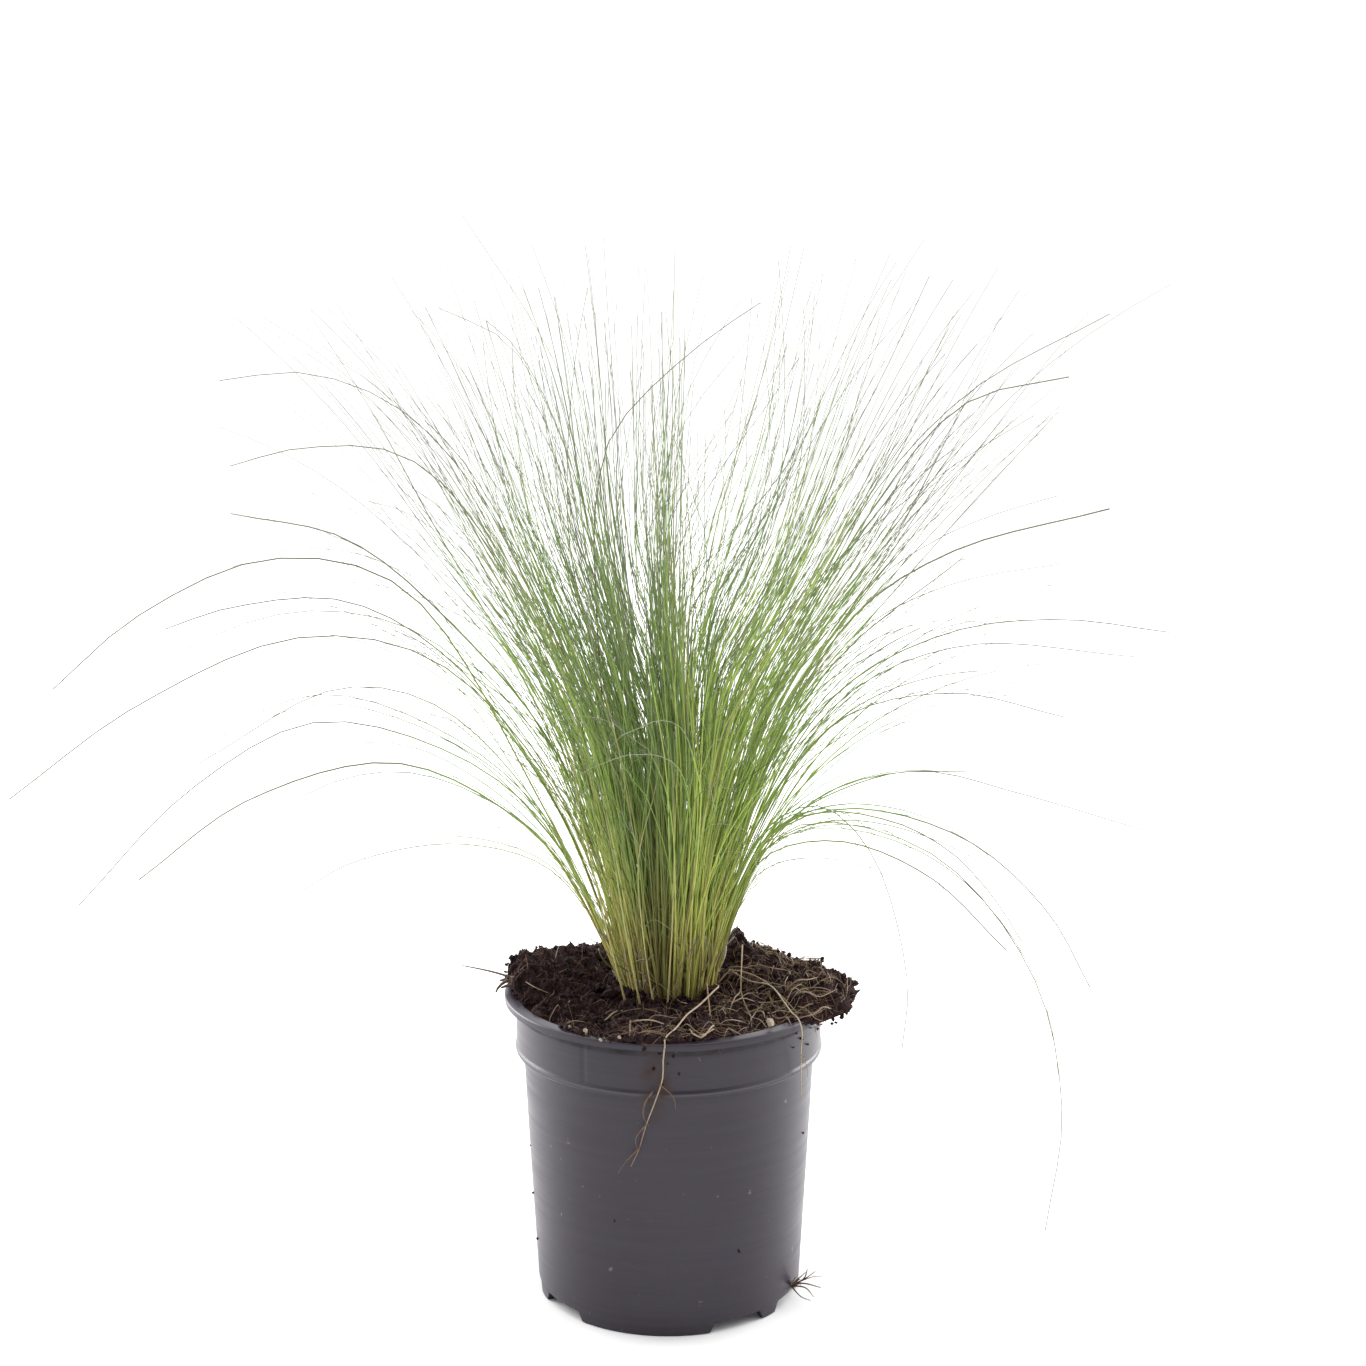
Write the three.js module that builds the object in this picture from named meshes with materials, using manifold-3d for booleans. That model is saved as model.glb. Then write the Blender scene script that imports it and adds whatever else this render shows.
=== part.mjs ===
// Mexican feather grass (Nassella tenuissima) growing in a round 13 cm nursery pot.
// Units are millimetres, +Z is up. The origin is the middle of the foot under the centre of the pot,
// on the surface that the pot stands on. -Y is the front, and azimuths run anticlockwise from +X.

import * as THREE from 'three';
import { mergeVertices } from 'three/addons/utils/BufferGeometryUtils.js';
import Module from 'manifold-3d';

const wasm = await Module();
wasm.setup();

// Pot: a thin moulded wall with a rolled lip, a collar, a bead under the collar and a raised floor.
const LIP_RADIUS = 65;
const LIP_TOP = 123;
const LIP_HEIGHT = 3;
const LIP_ROUND = 0.8;
const LIP_WIDTH = 5.2;
const LIP_FLAT = 3.2;
const COLLAR_RADIUS = 60.6;
const COLLAR_BOTTOM = 103;
const COLLAR_DRAFT = 0.3;
const BEAD_RADIUS = 60.9;
const BEAD_HEIGHT = 101.3;
const BODY_TOP = 99.7;
const BODY_TOP_RADIUS = 57.6;
const BASE_RADIUS = 52.2;
const WALL = 1.2;
const FLOOR_HEIGHT = 5;
const FOOT_WIDTH = 2.3;
const CENTRE_FOOT_RADIUS = 12;
const CENTRE_FOOT_SLOPE = 3;
const POT_SEGMENTS = 48;

// Six notches cut the foot ring, each as [from, to] in degrees, and each has a drain slot behind it.
const NOTCHES = [[-71, -46], [-36, -11], [49, 74], [84, 109], [169, 194], [204, 229]];
const NOTCH_HEIGHT = 4.2;
const DRAIN_INNER = 43.5;
const DRAIN_OUTER = 48.6;
const DRAIN_HALF_ANGLE = 6;
const CUT_PAST = 1;

// Soil: nearly level in front, heaped at the left and the right, and spilling over the lip on the right.
const CLEARANCE = 0.45;
const SOIL_LEVEL = 122.2;
const SOIL_MOUND = 1;
const SOIL_RADIUS = 59.9;
const LUMPS = { height: 1.3, alongX: 0.41, alongY: 0.37, swirl: 1.5, swirlAlong: 0.21 };
const HUMPS = [
  { x: 33, y: 25, rise: 6.2, across: 12, along: 19 },
  { x: 26, y: 31, rise: 7, across: 6, along: 9 },
  { x: 60, y: -12, rise: 4, across: 16, along: 20 },
  { x: 58, y: 14, rise: 2.6, across: 16, along: 16 },
  { x: -56, y: 13, rise: 9, across: 17, along: 24 },
  { x: -27, y: 36, rise: 4.5, across: 20, along: 17 },
];
const LEDGE_MIDDLE = -3;
const LEDGE_HALF_ANGLE = 39;
const LEDGE_REACH = 13.6;
const LEDGE_FULLNESS = 0.6;
const LEDGE_RIPPLES = [{ depth: 0.9, count: 7 }, { depth: 0.7, count: 17 }];
const LEDGE_UNDERSIDE = 118.4;
const LEDGE_TUCK = 2.4;
const RIM_DROP = 1.5;
const SOIL_RINGS = [0.985, 0.91, 0.82, 0.72, 0.62, 0.51, 0.38];

// Crown: the hole in the soil that the grass stands in, and the tiller bases that fill it.
const HOLE_RADIUS = 17.4;
const HOLE_BOTTOM = 107.5;
const HOLE_FLARE_FROM = 114;
const HOLE_FLARE = 0.445;
const HOLE_TOP = 150;
const CROWN_OUTER = 16.9;
const CROWN_INNER = 1.5;
const CROWN_BOTTOM = 107.8;
const CROWN_TOP = 121.5;
const CROWN_GAP = 0.5;

// Tiller bunches: azimuth range in degrees and number of blades of each.
const BUNCHES = [
  { from: -70, to: -25, blades: 35 },
  { from: -25, to: 25, blades: 37 },
  { from: 25, to: 70, blades: 35 },
  { from: 70, to: 110, blades: 33 },
  { from: 110, to: 155, blades: 35 },
  { from: 155, to: 205, blades: 37 },
  { from: 205, to: 250, blades: 35 },
  { from: 250, to: 290, blades: 33 },
];
const TILLERS_PER_BUNCH = 3;
const TILLER_WIDTH = 0.8;
const GOLDEN_SHARE = 0.618034;
const SPREAD_JITTER = 0.08;
const SIDE_DRIFT = 0.12;

// Kinds of shoot: the lean from upright at the root, what the lean gains from the middle of the crown
// to its edge, the bend that is added by the tip, all in degrees, and the length above the roots.
const UPRIGHT = { lean: [0.2, 1.8], leanOut: 8.5, bend: [6, 36], length: [110, 306], segments: 3 };
const ARCHING = { lean: [7, 11], leanOut: 0, bend: [22, 60], length: [200, 320], segments: 5 };
const DROOPING = { lean: [10, 15], leanOut: 0, bend: [75, 115], length: [190, 260], segments: 6 };
const OUTER_ZONE = 0.72;
const UPRIGHT_SHARE = 0.58;
const ARCHING_SHARE = 0.86;
const LATE_BEND = [1.4, 2.4];
const EAST_LEAN = 5;
const EAST_BEND_LOSS = 0.3;

// The tuft parts from front to back on the plane x = PARTING_X, the more the higher. Each side is given
// as the height where it starts to move, the height from which it is fully moved, and how far it moves.
const PARTING_X = 20;
const PARTING_SOFTNESS = 8;
const PARTING_WEST = { from: 215, to: 320, push: 12 };
const PARTING_EAST = { from: 215, to: 350, push: 13 };

// Below that the right-hand side is drawn in to a waist: from place to place it comes to the full push.
const WAIST_PLACES = { from: 2, to: 26 };
const WAIST_RISES = { from: 112, to: 168 };
const WAIST_ENDS = { from: 235, to: 300 };
const WAIST_PUSH = 5.8;

const ROOT_HEIGHT = 112;
const SHOOT_RADIUS = 15.5;
const SHOOT_INNER_RADIUS = 3.2;
const SIDE_ROOM = 0.85;
const BUNCH_SEED = 1009;
const PATH_STEPS = 48;
const BLADE_SIDES = 3;
const BLADE_BASE = 0.54;
const BLADE_MIDDLE = 0.44;
const LONG_BLADE_SEGMENTS = 8;
const LONG_BLADE_ROOTS = [9, 15];
const LONG_BLADE_TOP = 422;
const LONG_BLADE_LOW = 177;

// The long outer blades: an azimuth, and the [radius, height] points that each one passes through.
const LONG_BLADES = [
  { azimuth: 186, through: [[50, 201], [102, 286], [150, 297], [200, 276], [232, 249]] },
  { azimuth: 172, through: [[43, 194], [86, 253], [127, 275], [174, 271], [200, 262]] },
  { azimuth: 165, through: [[38, 220], [78, 306], [108, 331], [150, 332], [180, 324]] },
  { azimuth: 194, through: [[35, 230], [69, 316], [101, 354], [135, 368], [166, 366]] },
  { azimuth: 161, through: [[45, 212], [92, 265], [135, 295], [187, 303]] },
  { azimuth: 199, through: [[44, 188], [90, 243], [128, 253], [180, 229]] },
  { azimuth: 190, through: [[28, 150], [50, 194], [84, 222], [135, 236], [182, 212], [225, 169]] },
  { azimuth: 175, through: [[31, 152], [54, 186], [105, 212], [166, 196], [212, 162]] },
  { azimuth: 168, through: [[30, 148], [50, 170], [86, 177], [129, 167], [151, 154]] },
  { azimuth: 180, through: [[42, 200], [90, 255], [141, 264], [205, 237], [256, 200]] },
  { azimuth: 211, through: [[33, 160], [68, 203], [116, 226], [158, 218], [180, 182]] },
  { azimuth: 147, through: [[24, 237], [33, 315], [52, 366], [96, 422]] },
  { azimuth: 160, through: [[27, 278], [42, 335], [65, 374], [94, 387]] },
  { azimuth: -8, through: [[24, 150], [37, 182], [58, 193], [104, 181], [142, 135], [155, 80], [150, 30]] },
  { azimuth: 10, through: [[26, 152], [42, 184], [72, 193], [120, 178], [155, 146], [174, 113]] },
  { azimuth: -18, through: [[25, 150], [39, 180], [69, 189], [104, 178], [134, 152]] },
  { azimuth: -45, through: [[28, 150], [50, 196], [80, 212], [105, 198], [122, 155], [120, 128]] },
  { azimuth: 5, through: [[36, 175], [62, 201], [99, 209], [139, 199], [189, 183]] },
  { azimuth: 17, through: [[30, 160], [50, 188], [90, 203], [125, 202]] },
  { azimuth: -14, through: [[34, 185], [67, 235], [110, 248], [152, 241]] },
  { azimuth: 14, through: [[38, 195], [74, 239], [120, 255], [193, 247]] },
  { azimuth: 0, through: [[36, 195], [66, 243], [108, 266], [150, 271], [192, 266]] },
  { azimuth: -20, through: [[36, 205], [72, 275], [110, 303], [168, 322]] },
  { azimuth: 30, through: [[36, 190], [75, 245], [139, 284]] },
  { azimuth: 5, through: [[38, 240], [77, 316], [115, 357], [168, 386]] },
  { azimuth: -10, through: [[38, 235], [80, 319], [112, 356], [149, 366]] },
  { azimuth: 30, through: [[36, 235], [74, 321], [100, 364], [119, 398]] },
  { azimuth: 18, through: [[30, 240], [52, 315], [77, 374], [103, 413]] },
  { azimuth: 85, through: [[17, 315], [19, 360], [30, 412]] },
];

// Dry root strands that lie over the soil and hang down outside the lip.
const STRAND_RADIUS = 0.5;
const STRAND_SIDES = 5;
const STRAND_STEPS = 22;
const STRAND_LIFT = 0.9;
const LOOSE_END_LIFT = 3.5;
const LIFT_BY_LIP = 2.6;
const STRAND_ROOM = 0.35;

const DEGREE = Math.PI / 180;
const MERGE_DISTANCE = 1e-4;

const potPlastic = new THREE.MeshStandardMaterial({ color: 0x3a383f, roughness: 0.45, metalness: 0 });
const peat = new THREE.MeshStandardMaterial({ color: 0x241a15, roughness: 1, metalness: 0 });
const dryRoot = new THREE.MeshStandardMaterial({ color: 0xa98f6c, roughness: 0.9, metalness: 0 });
const freshBlade = new THREE.MeshStandardMaterial({ color: 0x7da048, roughness: 0.6, metalness: 0 });

// Turns a closed geometry into a solid that can be joined and cut.
function solidFrom(geometry) {
  const bare = geometry.clone();
  bare.deleteAttribute('normal');
  bare.deleteAttribute('uv');
  const merged = mergeVertices(bare, MERGE_DISTANCE);
  const corners = merged.index.array;
  const triangles = [];
  for (let i = 0; i < corners.length; i += 3) {
    const [a, b, c] = [corners[i], corners[i + 1], corners[i + 2]];
    if (a !== b && b !== c && c !== a) {
      triangles.push(a, b, c);
    }
  }
  return new wasm.Manifold(new wasm.Mesh({
    numProp: 3,
    vertProperties: Float32Array.from(merged.attributes.position.array),
    triVerts: Uint32Array.from(triangles),
  }));
}

function meshFrom(name, solid, material) {
  const surface = solid.getMesh();
  const geometry = new THREE.BufferGeometry();
  geometry.setAttribute('position', new THREE.BufferAttribute(surface.vertProperties, 3));
  geometry.setIndex(new THREE.BufferAttribute(surface.triVerts, 1));
  geometry.computeVertexNormals();
  const mesh = new THREE.Mesh(geometry, material);
  mesh.name = name;
  return mesh;
}

// A closed [radius, height] profile turned about the upright axis.
function turned(profile, segments) {
  const points = profile.map(([radius, height]) => new THREE.Vector2(radius, height));
  return solidFrom(new THREE.LatheGeometry(points, segments).rotateX(Math.PI / 2));
}

// A slice of a ring between two azimuths in degrees, with its flat sides set in by a gap.
function ringSlice(inner, outer, from, to, bottom, top, inset = 0) {
  const outerInset = Math.asin(inset / outer);
  const innerInset = Math.asin(inset / inner);
  const shape = new THREE.Shape();
  shape.absarc(0, 0, outer, from * DEGREE + outerInset, to * DEGREE - outerInset, false);
  shape.absarc(0, 0, inner, to * DEGREE - innerInset, from * DEGREE + innerInset, true);
  shape.closePath();
  const options = { depth: top - bottom, bevelEnabled: false, curveSegments: 5 };
  return solidFrom(new THREE.ExtrudeGeometry(shape, options).translate(0, 0, bottom));
}

// The inside of the pot from the lip down to the floor, as [radius, height] points.
function innerProfile(room) {
  return [
    [LIP_RADIUS - LIP_WIDTH - room, LIP_TOP - LIP_ROUND],
    [COLLAR_RADIUS - WALL - room, LIP_TOP - LIP_HEIGHT],
    [COLLAR_RADIUS - COLLAR_DRAFT - WALL - room, COLLAR_BOTTOM - LIP_ROUND + room],
    [BODY_TOP_RADIUS - WALL - room, BEAD_HEIGHT - COLLAR_DRAFT + room],
    [BASE_RADIUS - WALL - room, FLOOR_HEIGHT + WALL],
  ];
}

function makePot() {
  const floorTop = FLOOR_HEIGHT + WALL;
  const slopeEnd = CENTRE_FOOT_RADIUS + CENTRE_FOOT_SLOPE;
  const profile = [
    [0, 0],
    [CENTRE_FOOT_RADIUS, 0],
    [slopeEnd, FLOOR_HEIGHT],
    [BASE_RADIUS - FOOT_WIDTH - COLLAR_DRAFT, FLOOR_HEIGHT],
    [BASE_RADIUS - FOOT_WIDTH, 0],
    [BASE_RADIUS, 0],
    [BODY_TOP_RADIUS, BODY_TOP],
    [BEAD_RADIUS - COLLAR_DRAFT, BODY_TOP + COLLAR_DRAFT],
    [BEAD_RADIUS, BEAD_HEIGHT],
    [COLLAR_RADIUS - COLLAR_DRAFT, COLLAR_BOTTOM],
    [COLLAR_RADIUS, LIP_TOP - LIP_HEIGHT],
    [LIP_RADIUS - LIP_ROUND, LIP_TOP - LIP_HEIGHT],
    [LIP_RADIUS, LIP_TOP - LIP_HEIGHT + LIP_ROUND],
    [LIP_RADIUS, LIP_TOP - LIP_ROUND],
    [LIP_RADIUS - LIP_ROUND, LIP_TOP],
    [LIP_RADIUS - LIP_ROUND - LIP_FLAT, LIP_TOP],
    ...innerProfile(0),
    [slopeEnd - WALL / 2, floorTop],
    [CENTRE_FOOT_RADIUS - WALL / 2, WALL],
    [0, WALL],
  ];
  let pot = turned(profile, POT_SEGMENTS);
  for (const [from, to] of NOTCHES) {
    const middle = (from + to) / 2;
    const footInner = BASE_RADIUS - FOOT_WIDTH - CUT_PAST;
    const slotFrom = middle - DRAIN_HALF_ANGLE;
    const slotTo = middle + DRAIN_HALF_ANGLE;
    const notch = ringSlice(footInner, BASE_RADIUS + CUT_PAST, from, to, -CUT_PAST, NOTCH_HEIGHT);
    const slotBottom = FLOOR_HEIGHT - CUT_PAST;
    const slot = ringSlice(DRAIN_INNER, DRAIN_OUTER, slotFrom, slotTo, slotBottom, floorTop + CUT_PAST);
    pot = pot.subtract(notch).subtract(slot);
  }
  return meshFrom('pot', pot, potPlastic);
}

// Height of the soil surface over a point of the plan.
function soilHeight(x, y) {
  const outward = Math.hypot(x, y) / SOIL_RADIUS;
  let height = SOIL_LEVEL + SOIL_MOUND * (1 - outward ** 2);
  for (const hump of HUMPS) {
    const acrossShare = (x - hump.x) / hump.across;
    const alongShare = (y - hump.y) / hump.along;
    height += hump.rise * Math.exp(-(acrossShare ** 2) - alongShare ** 2);
  }
  const waveX = Math.sin(LUMPS.alongX * x + LUMPS.swirl * Math.sin(LUMPS.swirlAlong * y));
  const waveY = Math.cos(LUMPS.alongY * y + LUMPS.swirl * Math.sin(LUMPS.swirlAlong * x));
  return height + LUMPS.height * waveX * waveY;
}

// 0 along most of the edge, rising smoothly to 1 in the middle of the overhanging ledge.
function ledgeShare(azimuth) {
  const off = Math.abs((((azimuth - LEDGE_MIDDLE) % 360) + 540) % 360 - 180) / LEDGE_HALF_ANGLE;
  return off < 1 ? Math.cos(off * Math.PI / 2) ** LEDGE_FULLNESS : 0;
}

// The section of the soil on one azimuth in degrees, from the bottom round the edge to the top.
function soilSection(azimuth) {
  const angle = azimuth * DEGREE;
  const ledge = ledgeShare(azimuth);
  let reach = LEDGE_REACH;
  for (const ripple of LEDGE_RIPPLES) {
    reach += ripple.depth * Math.sin(ripple.count * angle);
  }
  const edge = SOIL_RADIUS + reach * ledge;
  const bottom = FLOOR_HEIGHT + WALL + CLEARANCE;
  const surfaceAt = (radius) => soilHeight(radius * Math.cos(angle), radius * Math.sin(angle));
  const rim = surfaceAt(edge) - RIM_DROP * (1 + ledge);
  const section = [
    [CENTRE_FOOT_RADIUS - WALL, WALL + CLEARANCE],
    [CENTRE_FOOT_RADIUS + CENTRE_FOOT_SLOPE - WALL, bottom],
    [SOIL_RADIUS, bottom],
    [SOIL_RADIUS, LEDGE_UNDERSIDE - LEDGE_TUCK],
    [edge - LEDGE_TUCK * ledge, LEDGE_UNDERSIDE],
    [edge, (LEDGE_UNDERSIDE + rim) / 2],
    [edge, rim],
  ];
  for (const share of SOIL_RINGS) {
    section.push([edge * share, surfaceAt(edge * share)]);
  }
  return section;
}

// The soil's outside as a closed surface, with a ring of points for each step of the section.
function soilHeap() {
  const sections = [];
  for (let i = 0; i < POT_SEGMENTS; i += 1) {
    sections.push(soilSection(i * 360 / POT_SEGMENTS));
  }
  const points = [];
  sections.forEach((section, i) => {
    const angle = i * 360 / POT_SEGMENTS * DEGREE;
    section.forEach(([radius, height]) => {
      points.push(radius * Math.cos(angle), radius * Math.sin(angle), height);
    });
  });
  const rings = sections[0].length;
  const bottomCentre = rings * POT_SEGMENTS;
  const topCentre = bottomCentre + 1;
  points.push(0, 0, WALL + CLEARANCE, 0, 0, soilHeight(0, 0));
  const corners = [];
  for (let i = 0; i < POT_SEGMENTS; i += 1) {
    const here = i * rings;
    const next = ((i + 1) % POT_SEGMENTS) * rings;
    corners.push(bottomCentre, next, here);
    for (let j = 0; j + 1 < rings; j += 1) {
      corners.push(here + j, next + j, next + j + 1, here + j, next + j + 1, here + j + 1);
    }
    corners.push(here + rings - 1, next + rings - 1, topCentre);
  }
  const geometry = new THREE.BufferGeometry();
  geometry.setAttribute('position', new THREE.Float32BufferAttribute(points, 3));
  geometry.setIndex(corners);
  return solidFrom(geometry);
}

// The pot's wall and lip grown by the clearance, to be taken out of the soil.
function potRoom() {
  return turned([
    [BASE_RADIUS - WALL - CLEARANCE, 0],
    [LIP_RADIUS + CLEARANCE, 0],
    [LIP_RADIUS + CLEARANCE, LIP_TOP - LIP_ROUND],
    [LIP_RADIUS - LIP_ROUND, LIP_TOP + CLEARANCE],
    [LIP_RADIUS - LIP_ROUND - LIP_FLAT - CLEARANCE, LIP_TOP + CLEARANCE],
    ...innerProfile(CLEARANCE),
    [BASE_RADIUS - WALL - CLEARANCE, 0],
  ], POT_SEGMENTS);
}

function crownHole() {
  return turned([
    [0, HOLE_BOTTOM],
    [HOLE_RADIUS, HOLE_BOTTOM],
    [HOLE_RADIUS, HOLE_FLARE_FROM],
    [HOLE_RADIUS + (HOLE_TOP - HOLE_FLARE_FROM) * HOLE_FLARE, HOLE_TOP],
    [0, HOLE_TOP],
  ], POT_SEGMENTS);
}

function onSoil(x, y, lift = STRAND_LIFT) {
  return new THREE.Vector3(x, y, soilHeight(x, y) + lift);
}

function frontStrandRoute() {
  return new THREE.CatmullRomCurve3([
    onSoil(16, -25, LOOSE_END_LIFT),
    onSoil(8, -42),
    onSoil(3, -54, LIFT_BY_LIP),
    new THREE.Vector3(0, -60.5, LIP_TOP + 1.3),
    new THREE.Vector3(-1, -64.8, LIP_TOP + 1.3),
    new THREE.Vector3(-1.5, -66.8, LIP_TOP - 0.8),
    new THREE.Vector3(-2, -66.2, LIP_TOP - LIP_HEIGHT - 1),
    new THREE.Vector3(-2, -63.6, 109),
    new THREE.Vector3(-5, -62.2, 99),
    new THREE.Vector3(-8, -60, 90),
    new THREE.Vector3(-11, -58.5, 79),
    new THREE.Vector3(-14, -57.5, 72),
  ]);
}

function rightStrandRoute() {
  return new THREE.CatmullRomCurve3([
    onSoil(34, 4, LOOSE_END_LIFT),
    onSoil(41, -13),
    onSoil(45, -26),
    onSoil(47, -34, LIFT_BY_LIP),
    new THREE.Vector3(49.4, -41, LIP_TOP + 1.2),
    new THREE.Vector3(51.2, -42.8, LIP_TOP - 0.8),
    new THREE.Vector3(51.6, -42.2, LIP_TOP - LIP_HEIGHT - 1),
    new THREE.Vector3(51.4, -38, 107),
    new THREE.Vector3(52, -34.5, 94),
  ]);
}

function strand(route, radius) {
  const shape = new THREE.Shape();
  for (let i = 0; i < STRAND_SIDES; i += 1) {
    const angle = i * 2 * Math.PI / STRAND_SIDES;
    const point = [radius * Math.cos(angle), radius * Math.sin(angle)];
    if (i === 0) {
      shape.moveTo(...point);
    } else {
      shape.lineTo(...point);
    }
  }
  shape.closePath();
  return solidFrom(new THREE.ExtrudeGeometry(shape, { steps: STRAND_STEPS, extrudePath: route }));
}

function makeSoil() {
  const soil = soilHeap()
    .subtract(potRoom())
    .subtract(crownHole())
    .subtract(strand(frontStrandRoute(), STRAND_RADIUS + STRAND_ROOM))
    .subtract(strand(rightStrandRoute(), STRAND_RADIUS + STRAND_ROOM));
  return meshFrom('soil', soil, peat);
}

// Evenly spread numbers from 0 to 1 that are the same on every run.
class Draw {
  constructor(seed) {
    this.state = seed >>> 0;
  }

  next() {
    this.state = (Math.imul(this.state, 1664525) + 1013904223) >>> 0;
    return (this.state >>> 8) / 16777216;
  }

  between(low, high) {
    return low + (high - low) * this.next();
  }
}

// One blade: where it roots in its bunch, its lean and bend in degrees, its length, how late it bends,
// and its number of segments. Roots are spread evenly over the wedge, in tillers, and only shoots
// near the edge of the crown arch or droop.
function drawShoot(draw, index, count) {
  const outward = Math.sqrt((index + 0.5) / count);
  const radius = SHOOT_INNER_RADIUS + (SHOOT_RADIUS - SHOOT_INNER_RADIUS) * outward;
  const spread = (index * GOLDEN_SHARE + draw.between(0, SPREAD_JITTER)) % 1 * TILLERS_PER_BUNCH;
  const tiller = Math.floor(spread);
  const across = (tiller + 0.5 + TILLER_WIDTH * (spread - tiller - 0.5)) / TILLERS_PER_BUNCH;
  const drifted = across + draw.between(-SIDE_DRIFT, SIDE_DRIFT);
  const chance = draw.next();
  const upright = outward < OUTER_ZONE || chance < UPRIGHT_SHARE;
  const kind = upright ? UPRIGHT : (chance < ARCHING_SHARE ? ARCHING : DROOPING);
  const fullness = upright ? 0.3 + 0.9 * outward ** 2 : 1;
  return {
    radius,
    across,
    acrossEnd: Math.min(1, Math.max(0, drifted)),
    lean: draw.between(...kind.lean) + kind.leanOut * outward,
    bend: draw.between(...kind.bend) * fullness,
    length: draw.between(...kind.length),
    power: draw.between(...LATE_BEND),
    segments: kind.segments,
  };
}

// 0 up to the height from, 1 above the height to, and smooth between them.
function risen(height, { from, to }) {
  const share = Math.min(1, Math.max(0, (height - from) / (to - from)));
  return share * share * (3 - 2 * share);
}

// Where a point of a shoot comes to stand once the tuft has its waist and its parting.
function parted(point) {
  const waist = risen(point.z, WAIST_RISES) * (1 - risen(point.z, WAIST_ENDS));
  point.x -= WAIST_PUSH * risen(point.x, WAIST_PLACES) * waist;
  const side = Math.tanh((point.x - PARTING_X) / PARTING_SOFTNESS);
  const west = PARTING_WEST.push * risen(point.z, PARTING_WEST) * (1 - side) / 2;
  const east = PARTING_EAST.push * risen(point.z, PARTING_EAST) * (1 + side) / 2;
  point.x += east - west;
  return point;
}

// The points of a drawn shoot. It bends outwards in its own upright plane, and drifts sideways a
// little, but never out of the azimuth range of its bunch. The right-hand side leans out further.
function shootPath(shoot, bunch) {
  const step = shoot.length / PATH_STEPS;
  const middle = (bunch.from + bunch.to) / 2 * DEGREE;
  const east = Math.max(0, Math.cos(middle)) * shoot.radius / SHOOT_RADIUS;
  const lean = (shoot.lean + EAST_LEAN * east) * DEGREE;
  const bend = shoot.bend * (1 - EAST_BEND_LOSS * east) * DEGREE;
  const points = [];
  let radius = shoot.radius;
  let height = ROOT_HEIGHT;
  for (let i = 0; i <= PATH_STEPS; i += 1) {
    if (i * shoot.segments % PATH_STEPS < shoot.segments) {
      const along = i / PATH_STEPS;
      const margin = Math.asin(SIDE_ROOM / radius);
      const across = shoot.across + (shoot.acrossEnd - shoot.across) * along ** 1.5;
      const from = bunch.from * DEGREE + margin;
      const to = bunch.to * DEGREE - margin;
      const azimuth = from + (to - from) * across;
      points.push(parted(new THREE.Vector3(radius * Math.cos(azimuth), radius * Math.sin(azimuth), height)));
    }
    const inclination = lean + bend * ((i + 0.5) / PATH_STEPS) ** shoot.power;
    radius += step * Math.sin(inclination);
    height += step * Math.cos(inclination);
  }
  return points;
}

// A long blade roots nearer the edge of the crown the lower it arches.
function longBladePath(blade) {
  const crest = Math.max(...blade.through.map(([, height]) => height));
  const lowness = (LONG_BLADE_TOP - crest) / (LONG_BLADE_TOP - LONG_BLADE_LOW);
  const root = LONG_BLADE_ROOTS[0] + (LONG_BLADE_ROOTS[1] - LONG_BLADE_ROOTS[0]) * lowness;
  const stations = [[root, ROOT_HEIGHT], ...blade.through];
  const across = Math.cos(blade.azimuth * DEGREE);
  const deep = Math.sin(blade.azimuth * DEGREE);
  const curve = new THREE.CatmullRomCurve3(
    stations.map(([radius, height]) => new THREE.Vector3(radius * across, radius * deep, height)));
  return curve.getSpacedPoints(LONG_BLADE_SEGMENTS);
}

// A slender cone bent along its path: round at the root, thread-thin along it, and pointed.
function bladeSolid(path, turn) {
  const segments = path.length - 1;
  const tip = path[segments];
  const level = new THREE.Vector3(-tip.y, tip.x, 0).normalize();
  const cone = new THREE.ConeGeometry(1, segments, BLADE_SIDES, segments);
  const place = cone.attributes.position;
  for (let i = 0; i < place.count; i += 1) {
    const ring = Math.round(place.getY(i) + segments / 2);
    const before = path[Math.max(0, ring - 1)];
    const after = path[Math.min(segments, ring + 1)];
    const tangent = after.clone().sub(before).normalize();
    const upper = level.clone().cross(tangent).normalize();
    const sideways = upper.clone().cross(tangent);
    const isRing = Math.hypot(place.getX(i), place.getZ(i)) > MERGE_DISTANCE;
    const radius = isRing ? Math.max(BLADE_MIDDLE, BLADE_BASE * (1 - 0.5 * ring / segments)) : 0;
    const angle = Math.atan2(place.getZ(i), place.getX(i)) + turn;
    const point = path[ring].clone()
      .addScaledVector(upper, radius * Math.cos(angle))
      .addScaledVector(sideways, radius * Math.sin(angle));
    place.setXYZ(i, point.x, point.y, point.z);
  }
  return solidFrom(cone);
}

// A bunch of tillers: the wedge of crown that they share, and every blade sunk into it.
function makeBunch(bunch, index) {
  const { from, to } = bunch;
  const draw = new Draw(BUNCH_SEED * (index + 1));
  const crown = ringSlice(CROWN_INNER, CROWN_OUTER, from, to, CROWN_BOTTOM, CROWN_TOP, CROWN_GAP / 2);
  const paths = LONG_BLADES
    .filter((blade) => blade.azimuth >= from && blade.azimuth < to)
    .map(longBladePath);
  for (let i = 0; i < bunch.blades; i += 1) {
    paths.push(shootPath(drawShoot(draw, i, bunch.blades), bunch));
  }
  const blades = paths.map((path) => bladeSolid(path, draw.between(0, 2 * Math.PI)));
  const joined = wasm.Manifold.union([crown, ...blades]);
  return meshFrom(`tiller_bunch_${index + 1}`, joined, freshBlade);
}

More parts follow.
